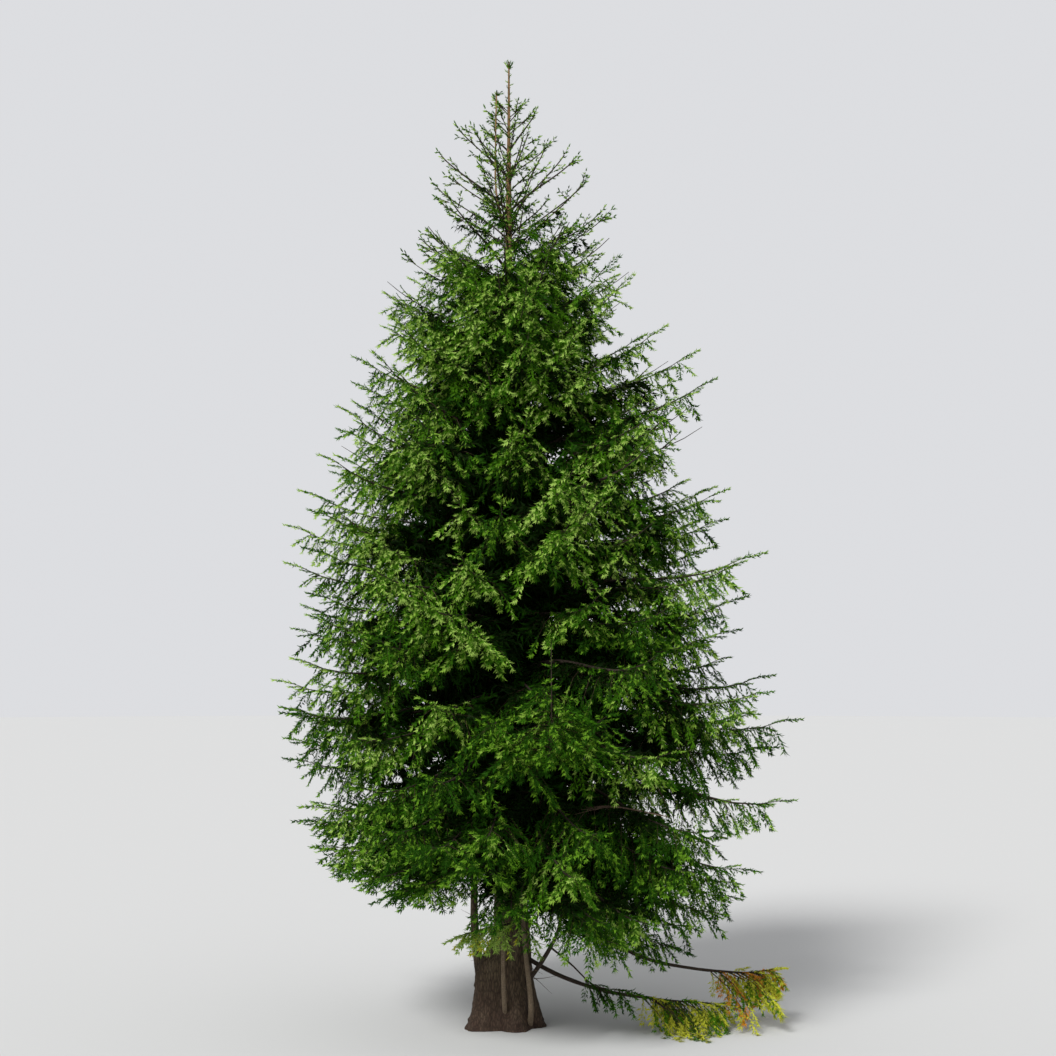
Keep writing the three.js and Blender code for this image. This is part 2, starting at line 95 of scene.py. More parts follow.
# Where the boughs of a mass stand: swing as a share of its half sector, lift as a share of the spacing.
BOUGH_PLACES = [(0.0, 0.0), (0.5, 0.2), (-0.5, -0.16), (0.82, -0.3), (-0.82, 0.3)]
BOUGH_PLACES += [(0.22, 0.46), (-0.22, -0.44), (0.66, 0.48), (-0.66, -0.1)]
STRAY = Values(swing=0.1, lift=0.08)
STEM = Values(
    base=0.009, per_reach=0.0105, side_share=0.6, tip=0.003, open_tip=0.004, taper=0.9, steps=12, sides=6
)
TWIG = Values(
    angle=0.86, share=0.4, taper=0.7, droop=0.32, shortest=0.12, radius=0.012, tip=0.0014, steps=3, sides=3
)
VARIATION = 0.15
GOLDEN_TURN = 2.4
LEADER_LENGTH = 1.02
DEAD_TWIG = Values(radius=0.004, tip=0.0015, length=(0.15, 0.45), bend=(-0.4, 0.3), below=3.6)
TRUNK_TWIGS = Values(count=60, lowest=0.5, highest=2.6, length=0.36, radius=0.006)
SPIKE = Values(above=5, below=9, chance=0.4, share=0.14, length=0.3)

# What changes with the height of a bough's root: its value below one height and above another.
# The same form serves for what changes along a bough, or with the cosine of its azimuth.
Change = namedtuple("Change", "below above low high")
# Painted light: low boughs, which the crown above shades, take darker tints and fewer pale tips, and high
# boughs paler ones.
PAINTED_LIGHT_BY_HEIGHT = Change(-0.35, 0.4, 1.5, 9)
OPENNESS = Change(0, 1, 7.9, 10.6)
RAGGED = Change(0, 0.08, 3.5, 5)
LONGER = Change(0, 0.13, 7, 9.5)
SHORTER_ASIDE = Change(0, 0.12, 2.2, 4)
BARE_SHARE = Change(0.4, 0.5, 2.2, 3.2)
LESS_BARE = Change(0, 0.3, 5.5, 8.5)
MORE_INSIDE = Change(0.35, 0, 3.5, 5)
PALE_ALONG = Change(0, 1, 0.3, 0.75)
LOWEST_HANG = Change(0.3, 1, -0.6, 0.6)
STRETCH = (0.98, 1.07)
OPEN_AT_TOP = 0.95

# How steeply sprigs sink, each drawn between two slopes, and how far they turn aside in radians.
DROOP = Values(
    on_twig=(0.3, 1.5),
    on_open_twig=(-0.1, 0.3),
    finger=(0.3, 1.9),
    on_ridge=(-0.35, 0.2),
    on_open_ridge=(-0.3, 0.9),
    inner=(-0.15, 1.1),
)
TURN_ASIDE = Values(on_twig=0.75, finger=0.8, on_ridge=0.55)
LAST_TWIG = 0.94
# The inner sprays: coarse fans near the trunk, coloured with painted shade.
INNER = Values(along=(0.04, 0.72), full_from=2.2, scale=1.2, less_outward=0.5)
WHORLS = Values(shares=(0.72, 0.85, 0.98), fingers=15)

# Limbs at the foot that don't follow the crown's rule, with their radii at root and tip.
Limb = namedtuple("Limb", "places root_radius tip_radius")
FOOT_LIMBS = {
    "left_stem": Limb(
        [(-0.38, -0.06, 0.62), (-0.44, -0.09, 1.1), (-0.455, -0.09, 1.7), (-0.43, -0.06, 2.35)],
        0.058, 0.034,
    ),
    "front_stem_left": Limb(
        [(-0.07, -0.23, 0.15), (-0.085, -0.44, 0.42), (-0.095, -0.44, 0.95), (-0.06, -0.39, 1.65)],
        0.031, 0.02,
    ),
    "front_stem_right": Limb(
        [(0.225, -0.21, 0.06), (0.235, -0.43, 0.33), (0.16, -0.44, 1.05), (0.11, -0.39, 1.9)],
        0.036, 0.022,
    ),
    "right_limb": Limb(
        [(0.15, -0.16, 0.48), (0.4, -0.3, 0.86), (0.56, -0.34, 1.18), (0.69, -0.33, 2.05)],
        0.03, 0.015,
    ),
    "low_bough_lower": Limb(
        [(0.15, -0.01, 0.82), (0.56, -0.06, 0.61), (1.15, -0.15, 0.43), (1.76, -0.2, 0.35)],
        0.029, 0.017,
    ),
    "low_bough_upper": Limb(
        [(0.14, 0.04, 1.56), (0.9, 0.08, 1.17), (1.6, 0.1, 0.79), (2.26, 0.1, 0.65), (2.76, 0.09, 0.61)],
        0.03, 0.013,
    ),
    "dead_branch": Limb(
        [(0.16, -0.16, 2.42), (0.7, -0.75, 2.62), (1.15, -1.3, 2.72), (1.75, -1.95, 2.66)],
        0.02, 0.006,
    ),
    "front_bough": Limb(
        [(0.02, -0.06, 3.05), (0.16, -0.9, 3.33), (0.33, -1.75, 3.33), (0.43, -2.3, 3.34)],
        0.034, 0.017,
    ),
}
LIMB = Values(steps=26, sides=20, flake=0.025, fibre=0.4, relief=0.6, blunt_end=0.35)

# Sprays and leaders with a line of their own. Leaders spread their twigs all round an upright stem.
SPRAY_VALUES = "places look bare fullness hang spread open_from"
Spray = namedtuple("Spray", SPRAY_VALUES, defaults=(0.0, 1.3, 1.0, 0.0, 1.0))
OWN_PLACES = {
    "low_spray_upper": Spray(
        [(2.2, 0.1, 0.66), (2.76, 0.09, 0.61), (2.99, 0.085, 0.62), (3.2, 0.07, 0.66)],
        "ailing", bare=0.1, fullness=2.0,
    ),
    "low_spray_lower": Spray(
        [(1.4, -0.18, 0.4), (1.76, -0.2, 0.35), (2.15, -0.22, 0.32), (2.6, -0.24, 0.3)],
        "ailing", bare=0.15, fullness=2.0,
    ),
    # Its dark look is partly painted shade.
    "right_fork_spray": Spray(
        [(0.462, -0.318, 0.985), (0.72, -0.42, 0.79), (0.99, -0.47, 0.56), (1.4, -0.5, 0.5)],
        "dark", bare=0.5,
    ),
    # Its bright look is partly painted light.
    "foot_spray": Spray(
        [(0.03, -0.12, 1.34), (0.04, -0.52, 1.3), (-0.3, -0.62, 1.25), (-0.6, -0.66, 1.17)],
        "bright", bare=0.2, hang=0.5,
    ),
    "front_leader": Spray(
        [(0.43, -2.3, 3.34), (0.45, -2.56, 3.56), (0.452, -2.6, 3.95), (0.45, -2.6, 4.6)],
        "green", spread=0.62,
    ),
    "side_leader": Spray(
        [(-0.05, -0.02, 9.75), (-0.195, -0.1, 10.25), (-0.21, -0.12, 10.9), (-0.2, -0.11, 11.6)],
        "green", spread=0.32, open_from=0.0,
    ),
}
OWN_STEM = Values(radius=0.014, side_leader_tip=0.008, sides=8, first_seed=11)

# Bark in relief: how much its flakes, lumps and furrows share in it, and its depth at each height.
RELIEF = Values(flakes=0.6, lumps=0.8, lump_scale=0.3, furrows=1.2, furrow_scale=16, upwards=0.12)
RELIEF_AT = np.array([[0, 1.5], [1.5, 1.0], [6, 0.45], [HEIGHT, 0.08]])
WRINKLES = Values(depth=0.016, across=3, upwards=24, fade_from=0.4)
TRUNK_SKIN = Values(rings=240, sides=66, closer_below=1.7, flake=0.04, fibre=0.3)
ABOVE_GROUND = 0.004

# The stage: a pale sky and floor, a soft key light, and the camera.
FLOOR = Values(radius=160, corners=96, sunk=0.002)
SKY = Values(colour=(0.9, 0.91, 0.94, 1), seen=0.8, light=0.55)
KEY_LIGHT = Values(energy=2.8, softness=18, turned=(48, 0, -32))
CAMERA = Values(place=(0.2, -20, 4.2), tilt=5.28, lens=54.96, sensor=36, sees=1000)


def seeded(seed):
    """Numbers from 0 to 1 that follow from the seed alone, in the same row as in the part's source."""
    state = seed & 0xFFFFFFFF

    def following():
        nonlocal state
        state = (state + 0x6D2B79F5) & 0xFFFFFFFF
        mixed = ((state ^ (state >> 15)) * (state | 1)) & 0xFFFFFFFF
        mixed ^= (mixed + ((mixed ^ (mixed >> 7)) * (mixed | 61) & 0xFFFFFFFF)) & 0xFFFFFFFF
        return (mixed ^ (mixed >> 14)) / 4294967296

    return following


def smoothstep(value, low, high):
    share = np.clip((value - low) / (high - low), 0, 1)
    return share * share * (3 - 2 * share)


def value_at(change, place):
    return change.below + (change.above - change.below) * smoothstep(place, change.low, change.high)


def heading(azimuth, rise):
    return np.array((cos(azimuth), sin(azimuth), rise))


def angle_between(a, b):
    return np.abs(np.arctan2(np.sin(a - b), np.cos(a - b)))


def unit(vectors):
    return vectors / np.linalg.norm(vectors, axis=-1, keepdims=True)


def trunk_radius(height, azimuth):
    """An even taper, a lobed flare and one swollen root."""
    taper = (1 - height / HEIGHT) ** TRUNK.taper
    lobes = 1 + FLARE.lobe_share * np.cos(FLARE.lobes * azimuth + FLARE.turn)
    flare = FLARE.depth * np.exp(-height / FLARE.height) * lobes
    aside = angle_between(azimuth, MOUND.azimuth)
    below = 1 - smoothstep(height, MOUND.top - MOUND.fade, MOUND.top + MOUND.fade)
    mound = MOUND.depth * below * np.exp(-((aside / MOUND.spread) ** 2))
    return TRUNK.tip_radius + (TRUNK.radius - TRUNK.tip_radius) * taper + flare + mound


def trunk_lean(height):
    share = height / HEIGHT
    return -TRUNK.lean * share * (2 - share)


def place_round(height, azimuth, radius):
    """Places round the trunk's middle line, at a radius from it."""
    x = trunk_lean(height) + radius * np.cos(azimuth)
    return np.stack([x, radius * np.sin(azimuth), height], axis=-1).reshape(-1, 3)


def crown_reach(height, azimuth):
    left = np.interp(height, OUTLINE[:, 0], OUTLINE[:, 1])
    right = np.interp(height, OUTLINE[:, 0], OUTLINE[:, 2])
    return left + (right - left) * (0.5 + 0.5 * np.cos(azimuth))


def rise_of(root, azimuth):
    """How high a bough's tip stands over its root, as a share of its reach."""
    low = 1 - smoothstep(root, TIERS.lowest, TIERS.lowest + RISE.drop_up_to)
    drop = RISE.right_drop * low * np.maximum(0, np.cos(azimuth))
    return RISE.lowest + RISE.per_metre * (root - TIERS.lowest) - drop


def bough_reach(root, azimuth):
    reach = crown_reach(root, azimuth)
    for _ in range(REACH_PASSES):
        tip = root + reach * rise_of(root, azimuth)
        reach = (reach + crown_reach(tip, azimuth)) / 2
    return reach


def ridge_line(root, azimuth, shares, reach):
    """A bough's line: it leaves the trunk upwards, sinks under its weight and turns up at the tip."""
    arch = np.clip(ARCH.most * (ARCH.straightens - root / HEIGHT), ARCH.top, ARCH.most)
    bend = 2 * arch * shares * (1 - shares) * (1 - ARCH.turns_at * shares)
    x = trunk_lean(root) + reach * shares * cos(azimuth)
    y = reach * shares * sin(azimuth)
    z = root + reach * (rise_of(root, azimuth) * shares + bend)
    return np.stack([x, y, z], axis=-1)


def tier_root(tier):
    return TIERS.lowest + TIERS.spacing * (1 - TIERS.shrink**tier) / (1 - TIERS.shrink)


def room_along(azimuth):
    """Distance from the trunk to the side of the tree's box at an azimuth, with what may stand proud."""
    (left, front, _), (right, back, _) = CAD_BOX
    x, y = cos(azimuth), sin(azimuth)
    across = ((right if x > 0 else -left) + 0.01 * (right - left)) / max(abs(x), 1e-6)
    along = ((back if y > 0 else -front) - 0.04) / max(abs(y), 1e-6)
    return min(across, along)


def smooth_line(places, steps):
    """A centripetal Catmull-Rom line through a few places, at even steps of its parameter."""
    places = np.array(places, float)
    before_first, after_last = 2 * places[0] - places[1], 2 * places[-1] - places[-2]
    row = np.vstack([before_first, places, after_last])
    gaps = np.linalg.norm(np.diff(row, axis=0), axis=1) ** 0.5
    line = []
    for share in np.linspace(0, len(places) - 1, steps + 1):
        i = min(int(share), len(places) - 2)
        t = share - i
        a, b, c, d = row[i : i + 4]
        before, here, after = gaps[i : i + 3]
        start = here * ((b - a) / before - (c - a) / (before + here) + (c - b) / here)
        end = here * ((c - b) / here - (d - b) / (here + after) + (d - c) / after)
        square, cube = t * t, t * t * t
        start_part = (2 * cube - 3 * square + 1) * b + (cube - 2 * square + t) * start
        line.append(start_part + (3 * square - 2 * cube) * c + (cube - square) * end)
    return np.array(line)


def bent_line(start, run, rise):
    """A short twig's line: it follows its run, and bends up or down towards its tip."""
    shares = np.linspace(0, 1, TWIG.steps)[:, None]
    return start + run * shares + np.array((0, 0, rise)) * shares**2


def tapered(line, root_radius, tip_radius, power=1.0):
    """A line with a radius at each of its places."""
    shares = np.linspace(0, 1, len(line))
    return line, tip_radius + (root_radius - tip_radius) * (1 - shares) ** power


def dead_twig(start, azimuth, rise, length, bend, radius):
    line = bent_line(start, unit(heading(azimuth, rise)) * length, bend * length)
    return tapered(line, radius, DEAD_TWIG.tip)


def place_at(rows, share):
    """The place at a share of a row of places, between its neighbours."""
    place = share * (len(rows) - 1)
    i = min(int(place), len(rows) - 2)
    return rows[i] + (rows[i + 1] - rows[i]) * (place - i)


def hand_of(i):
    """Sides by turns, as twigs and shoots stand."""
    return -1 if i % 2 else 1


# Meshes from arrays


def new_object(name, data):
    thing = bpy.data.objects.new(name, data)
    bpy.context.scene.collection.objects.link(thing)
    return thing


def mesh_piece(name, vertices, triangles, materials, slot, nodes=(), tones=None, smooth=False):
    """One joined mesh that rides on the tree in place of nodes. Tones choose each triangle's material."""
    mesh = bpy.data.meshes.new(name)
    mesh.from_pydata(vertices, [], triangles, shade_flat=not smooth)
    for material in materials:
        mesh.materials.append(material)
    if tones is not None:
        mesh.polygons.foreach_set("material_index", np.ascontiguousarray(tones, np.int32))
    mesh.update()
    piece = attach(new_object(name, mesh), "root")
    if nodes:
        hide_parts(*nodes)


def frames_along(points):
    """Unit vectors beside and above each place of one line or of many."""
    tangents = unit(np.gradient(points, axis=-2))
    chord = unit(points[..., -1:, :] - points[..., :1, :])
    steep = np.abs(chord[..., 2:]) > 0.75
    reference = np.where(steep, [1.0, 0.0, 0.0], [0.0, 0.0, 1.0])
    side = unit(np.cross(tangents, reference))
    return side, np.cross(side, tangents)


def tube_triangles(lines, rings, sides):
    """Triangles of many tubes whose vertices run by line, ring and side."""
    ring, side = np.meshgrid(np.arange(rings - 1), np.arange(sides), indexing="ij")
    here = ring * sides + side
    beside = ring * sides + (side + 1) % sides
    first = np.stack([here, beside, here + sides], axis=-1).reshape(-1, 3)
    second = np.stack([beside, beside + sides, here + sides], axis=-1).reshape(-1, 3)
    one = np.concatenate([first, second])
    return (one[None] + (np.arange(lines) * rings * sides)[:, None, None]).reshape(-1, 3)


def tubes(points, radii, sides):
    """Round tubes along lines of equal length in steps. Radii may also differ round each ring."""
    side, upper = frames_along(points)
    angles = np.arange(sides) * 2 * pi / sides
    outward = side[..., None, :] * np.cos(angles)[:, None] + upper[..., None, :] * np.sin(angles)[:, None]
    if radii.ndim < points.ndim:
        radii = radii[..., None]
    vertices = points[..., None, :] + outward * radii[..., None]
    return vertices.reshape(-1, 3), tube_triangles(len(points), points.shape[1], sides)


def tubes_of(rows, sides):
    lines, radii = zip(*rows)
    return tubes(np.array(lines), np.array(radii), sides)


def loose_triangles(corners):
    """Vertices and triangles of faces that share no vertices."""
    return corners.reshape(-1, 3), np.arange(3 * len(corners)).reshape(-1, 3)


def join(parts):
    """One array of vertices and one of triangles from several."""
    vertices, triangles, count = [], [], 0
    for part_vertices, part_triangles in parts:
        vertices.append(part_vertices)
        triangles.append(part_triangles + count)
        count += len(part_vertices)
    return np.concatenate(vertices), np.concatenate(triangles)


def bark_relief(places, flake, depth, fibre):
    """How far the bark stands out: flakes of uneven size, lumps, and furrows along +Z."""
    relief = np.empty(len(places))
    for i, (x, y, z) in enumerate(places):
        here = Vector((x, y, z * fibre)) / flake
        flakes = 1 - 2 * abs(noise.noise(here))
        lumps = noise.fractal(here * RELIEF.lump_scale, 1.0, 2.0, 3)
        furrows = noise.noise(Vector((x, y, RELIEF.upwards * z)) * RELIEF.furrow_scale)
        relief[i] = RELIEF.flakes * flakes + RELIEF.lumps * lumps + RELIEF.furrows * furrows
    return depth * relief


# Growth of the crown

Sprig = namedtuple("Sprig", "kind place direction scale tint look")
Bough = namedtuple("Bough", "line tangents length bare last is_open")


def new_growth():
    """What grows on the limbs: boughs, twigs and dead twigs as tapered lines, and sprigs in their places."""
    return Values(boughs=[], twigs=[], dead=[], sprigs=[])


class BoughGrower:
    """Grows twigs and sprigs on one bough by the source's rule, carried to finer twigs."""

    def __init__(self, growth, random, sizes, look="green"):
        self.growth = growth
        self.random = random
        self.sizes = sizes
        self.look = look
        self.open_from = 1.0
        self.fullness = 1.0
        self.hang = 1.0
        # A bough's own random tone; grow_bough adds painted light by height to it.
        self.brightness = random()

    def between(self, low, high):
        return low + (high - low) * self.random()

    def vary(self, value):
        return value * self.between(1 - VARIATION, 1 + VARIATION)

    def kind_at(self, along):
        """Open sprigs past a share of the bough, and pale-tipped ones towards its end on boughs made paler by
        their own random tone and by painted light.
        """
        if along > self.open_from:
            return "open"
        pale = value_at(PALE_ALONG, along) * (0.45 + 0.55 * self.brightness)
        return "outer" if self.random() < pale else "middle"

    def add_sprig(self, kind, place, direction, scale=1.0):
        # The tint follows the bough's tone and its painted light.
        tint = min(2, int(3 * np.clip(self.brightness + self.between(-0.35, 0.35), 0, 0.99)))
        sprig = Sprig(kind, place, unit(direction), self.vary(scale), tint, self.look)
        self.growth.sprigs.append(sprig)

    def aside(self, tangent, hand, angle, droop):
        """A direction to the left or right of another, sunk by a droop."""
        side = unit(np.cross(tangent, (0, 0, 1))) * hand
        direction = tangent * cos(angle) + side * sin(angle)
        return unit(direction - np.array((0, 0, droop)))

    def grow(self, line, length, bare, spike=0.0):
        """All that a bough bears between its bare foot and its tip, which may be a bare spike."""
        tangents = unit(np.gradient(line, axis=0))
        bough = Bough(line, tangents, length, bare, LAST_TWIG - spike, self.open_from < 0.5)
        self.grow_twigs(bough)
        if spike:
            start = place_at(line, bough.last)
            self.add_sprig("spike", start, line[-1] - start, spike * length / SPIKE.length)
        else:
            self.add_sprig(self.kind_at(0.9), line[-1] - tangents[-1] * 0.1, tangents[-1])
        self.grow_fingers(bough)
        self.grow_ridge(bough)

    def grow_twigs(self, bough):
        """Twigs in turn on both sides of a bough, shorter towards its tip."""
        bearing = bough.length * (bough.last - bough.bare)
        crowding = self.fullness**2 * (0.4 if bough.is_open else 1)
        fewest = 1 if bough.is_open else 3
        count = max(fewest, round(crowding * 2 * bearing / self.sizes.twig_spacing))
        for i in range(count):
            along = bough.bare + (bough.last - bough.bare) * (i + self.random()) / count
            droop = 0 if along > self.open_from else TWIG.droop * self.random()
            direction = self.aside(place_at(bough.tangents, along), hand_of(i), self.vary(TWIG.angle), droop)
            full = self.vary(self.fullness * TWIG.share * bough.length * (1 - along) ** TWIG.taper)
            twig_length = max(TWIG.shortest, full - 0.6 * self.sizes.sprig_length)
            self.grow_twig(place_at(bough.line, along), direction, twig_length, along)

    def grow_twig(self, start, direction, length, along):
        """A twig that sinks towards its tip, with sprigs in turn on its sides and one at its tip."""
        is_open = along > self.open_from
        sag = 0 if is_open else self.hang * self.sizes.twig_sag * length * self.between(0.6, 1.4)
        line = bent_line(start, direction * length, -sag)
        self.growth.twigs.append(tapered(line, TWIG.tip + TWIG.radius * length, TWIG.tip))
        end = unit(line[-1] - line[-2])
        self.add_sprig(self.kind_at(along), line[-1] - end * 0.05, end)
        spacing = self.sizes.sprig_spacing * (1.5 if is_open else 1)
        count = int(length / spacing + self.random())
        for i in range(count):
            share = (i + self.between(0.3, 0.9)) / (count + 0.4)
            tangent = unit(direction * length - np.array((0, 0, 2 * sag * share)))
            droop = self.between(*DROOP.on_open_twig) if is_open else self.hang * self.between(*DROOP.on_twig)
            turned = self.aside(tangent, hand_of(i), self.vary(TURN_ASIDE.on_twig), droop)
            self.add_sprig(self.kind_at(along), place_at(line, share), turned, 0.9)

    def grow_fingers(self, bough):
        """Long shoots side by side under the bough, as close as the teeth of a comb."""
        end = min(bough.last, self.open_from)
        count = max(0, round((end - bough.bare) * bough.length / self.sizes.finger_spacing))
        for i in range(count):
            along = bough.bare + (end - bough.bare) * (i + self.random()) / count
            droop = self.hang * self.between(*DROOP.finger)
            turn = self.vary(TURN_ASIDE.finger)
            direction = self.aside(place_at(bough.tangents, along), hand_of(i), turn, droop)
            self.add_sprig("finger", place_at(bough.line, along), direction)

    def grow_ridge(self, bough):
        """Sprigs along the upper side of a bough, stubby ones where it is open."""
        spacing = self.sizes.ridge_spacing / (1.8 if bough.is_open else 1)
        count = round((bough.last - bough.bare) * bough.length / spacing)
        for i in range(count):
            along = bough.bare + (bough.last - bough.bare) * (i + 0.8) / count
            is_open = along > self.open_from
            droop = self.between(*(DROOP.on_open_ridge if is_open else DROOP.on_ridge))
            turn = self.vary(TURN_ASIDE.on_ridge)
            direction = self.aside(place_at(bough.tangents, along), hand_of(i), turn, droop)
            kind = "stub" if is_open else self.kind_at(along)
            self.add_sprig(kind, place_at(bough.line, along), direction, 0.8)

    def grow_dead_twigs(self, line, length):
        """Bare dead twigs that hang from the shaded part of a low bough."""
        for _ in range(round(self.sizes.dead_per_metre * length)):
            place = place_at(line, self.between(0.12, 0.55))
            azimuth = 2 * pi * self.random()
            rise = self.between(-1.4, -0.1)
            twig_length = self.between(*DEAD_TWIG.length)
            bend = self.between(*DEAD_TWIG.bend)
            self.growth.dead.append(dead_twig(place, azimuth, rise, twig_length, bend, DEAD_TWIG.radius))

    def grow_inner(self, line, length, share):
        """Coarse dark sprays near the trunk, where the needles are old; their near-black greens are painted
        shade as well, so the crown's inside reads dark.
        """
        for _ in range(round(share * self.sizes.inner_per_metre * length)):
            azimuth = 2 * pi * self.random()
            droop = self.hang * self.between(*DROOP.inner)
            direction = unit(heading(azimuth, -droop))
            along = self.between(*INNER.along)
            scale = self.vary(min(1, length / INNER.full_from)) * (INNER.scale - INNER.less_outward * along)
            tint = int(3 * self.random())
            self.growth.sprigs.append(Sprig("inner", place_at(line, along), direction, scale, tint, "shade"))

    def grow_upright(self, line, length, spread):
        """Twigs all round an upright stem, longer towards its foot, whorls of fingers and a needled tip."""
        is_open = self.open_from < 1
        count = round((3 if is_open else 8) * length / self.sizes.twig_spacing)
        for i in range(count):
            along = 0.04 + 0.66 * (i + self.random()) / count
            azimuth = GOLDEN_TURN * i + self.random()
            across = np.array((cos(azimuth), 0.5 * sin(azimuth), 0))
            twig_length = self.vary(spread * (1 - 1.15 * along)) * np.linalg.norm(across)
            direction = unit(unit(across) + np.array((0, 0, 1.0 if is_open else 0.3)))
            self.grow_twig(place_at(line, along), direction, twig_length, 0.9)
        for i in range(WHORLS.fingers):
            self.add_sprig("finger", place_at(line, WHORLS.shares[i % 3]), heading(GOLDEN_TURN * i, 0.5))
        top = 0.25 * length
        upwards = unit(line[-1] - line[-2])
        self.growth.sprigs.append(Sprig("leader", line[-1] - upwards * top, upwards, top, 1, self.look))


def grow_bough(grower, root, azimuth, swing, bare):
    """One bough with all that it bears. The boughs beside the middle one of a mass are thinner."""
    sizes = grower.sizes
    # Painted light: paler high in the crown, darker low down where the crown shades the boughs.
    grower.brightness += value_at(PAINTED_LIGHT_BY_HEIGHT, root)
    openness = value_at(OPENNESS, root)
    grower.open_from = 1 - OPEN_AT_TOP * openness
    ragged = value_at(RAGGED, root)
    stretch = grower.between(STRETCH[0] - ragged, STRETCH[1] + ragged)
    stretch += value_at(LONGER, root) - abs(swing) * value_at(SHORTER_ASIDE, root)
    reach = min(bough_reach(root, azimuth) * stretch, room_along(azimuth)) - sizes.tip_length
    line = ridge_line(root, azimuth, np.linspace(0, 1, STEM.steps), reach)
    radius = (STEM.side_share if swing else 1) * (STEM.base + STEM.per_reach * reach)
    tip_radius = STEM.tip + STEM.open_tip * openness
    grower.growth.boughs.append(tapered(line, radius, tip_radius, STEM.taper))
    has_spike = SPIKE.above < root < SPIKE.below and grower.random() < SPIKE.chance
    grower.grow(line, reach, bare, SPIKE.share if has_spike else 0.0)
    grower.grow_inner(line, reach, 1 - openness + value_at(MORE_INSIDE, root))
    if root < DEAD_TWIG.below:
        grower.grow_dead_twigs(line, reach)


def grow_mass(growth, tier, mass, sizes):
    """The boughs of one mass: the first on its middle line, the others strayed a little round it."""
    half_sector = pi / TIERS.masses[tier]
    middle = TIERS.start + tier * TIERS.turn + mass * 2 * half_sector
    height = tier_root(tier)
    bare = value_at(BARE_SHARE, height) - value_at(LESS_BARE, height)
    random = seeded(100 * tier + mass)
    for swing, lift in BOUGH_PLACES[: TIERS.boughs[tier]]:
        grower = BoughGrower(growth, random, sizes)
        strays = 1 if swing else 0
        azimuth = middle + half_sector * (swing + strays * grower.between(-STRAY.swing, STRAY.swing))
        sinks = 1 if tier or lift > 0 else 0.5 + 0.5 * cos(azimuth)
        lift = lift * sinks + strays * grower.between(-STRAY.lift, STRAY.lift)
        if tier == 0:
            grower.hang = value_at(LOWEST_HANG, cos(azimuth))
        grow_bough(grower, height + TIERS.spacing * lift, azimuth, swing, bare)


def grow_tier(tier, sizes):
    growth = new_growth()
    for mass in range(TIERS.masses[tier]):
        grow_mass(growth, tier, mass, sizes)
    if tier == len(TIERS.masses) - 1:
        foot = np.array((trunk_lean(HEIGHT), 0, HEIGHT - LEADER_LENGTH))
        growth.sprigs.append(Sprig("leader", foot, np.array((0, 0, 1.0)), LEADER_LENGTH, 1, "green"))
    return growth


@functools.cache
def crown_growth(sizes):
    """The growth of all tiers, the same for each operator that asks with the same sizes."""
    return [grow_tier(tier, sizes) for tier in range(len(TIERS.masses))]


# Patterns of sprigs: small twigs with shoots on both sides, each shoot set with needles

# DARK is the tone of the inner sprays' needles, which are painted shade.
OLD, NEW, DARK = 0, 1, 2
ORIGIN = np.zeros(3)
THIN_WOOD = 0.003
NEARLY_UP = (0.03, 0.05, 1.0)


class Pattern:
    """A sprig to be set in many places: needles as triangles with a tone each, and its own thin twigs."""

    def __init__(self, seed, sizes, longer=1.0, wider=1.0):
        self.random = seeded(seed)
        self.needle_length = longer * sizes.needle_length
        self.needle_width = wider * sizes.needle_width
        self.needles = []
        self.tones = []
        self.wood = []

    def between(self, low, high):
        return low + (high - low) * self.random()

    def tone(self, new_share):
        return NEW if self.random() < new_share else OLD

    def add_shoot(self, direction, length, tone, count, start=ORIGIN, spread=0.5, wood=0.0):
        """One shoot: needles all round a thin twig, their feet by turns along it and across it."""
        direction = unit(np.array(direction, float))
        side = unit(np.cross(direction, NEARLY_UP))
        upper = np.cross(side, direction)
        for i in range(count):
            roll = GOLDEN_TURN * i + 0.8 * self.random()
            lean = spread * self.between(0.75, 1.2)
            outward = side * cos(roll) + upper * sin(roll)
            point = outward * sin(lean) + direction * cos(lean)
            base = start + direction * length * 0.92 * (i + 0.5) / count
            tip = base + point * self.needle_length * self.between(0.85, 1.1)
            half = (direction if i % 2 else np.cross(direction, outward)) * self.needle_width / 2
            self.needles.append([base - half, base + half, tip])
            self.tones.append(tone)
        end = start + direction * length
        if wood:
            self.add_wood(start, end, wood)
        return end

    def add_wood(self, start, end, radius):
        """A thin twig with three sides that ends in a point."""
        along = unit(end - start)
        side = unit(np.cross(along, NEARLY_UP))
        upper = np.cross(side, along)
        ring = [start + radius * (side * cos(a) + upper * sin(a)) for a in (0, 2.1, 4.2)]
        for i in range(3):
            self.wood.append([ring[i], ring[(i + 1) % 3], end])


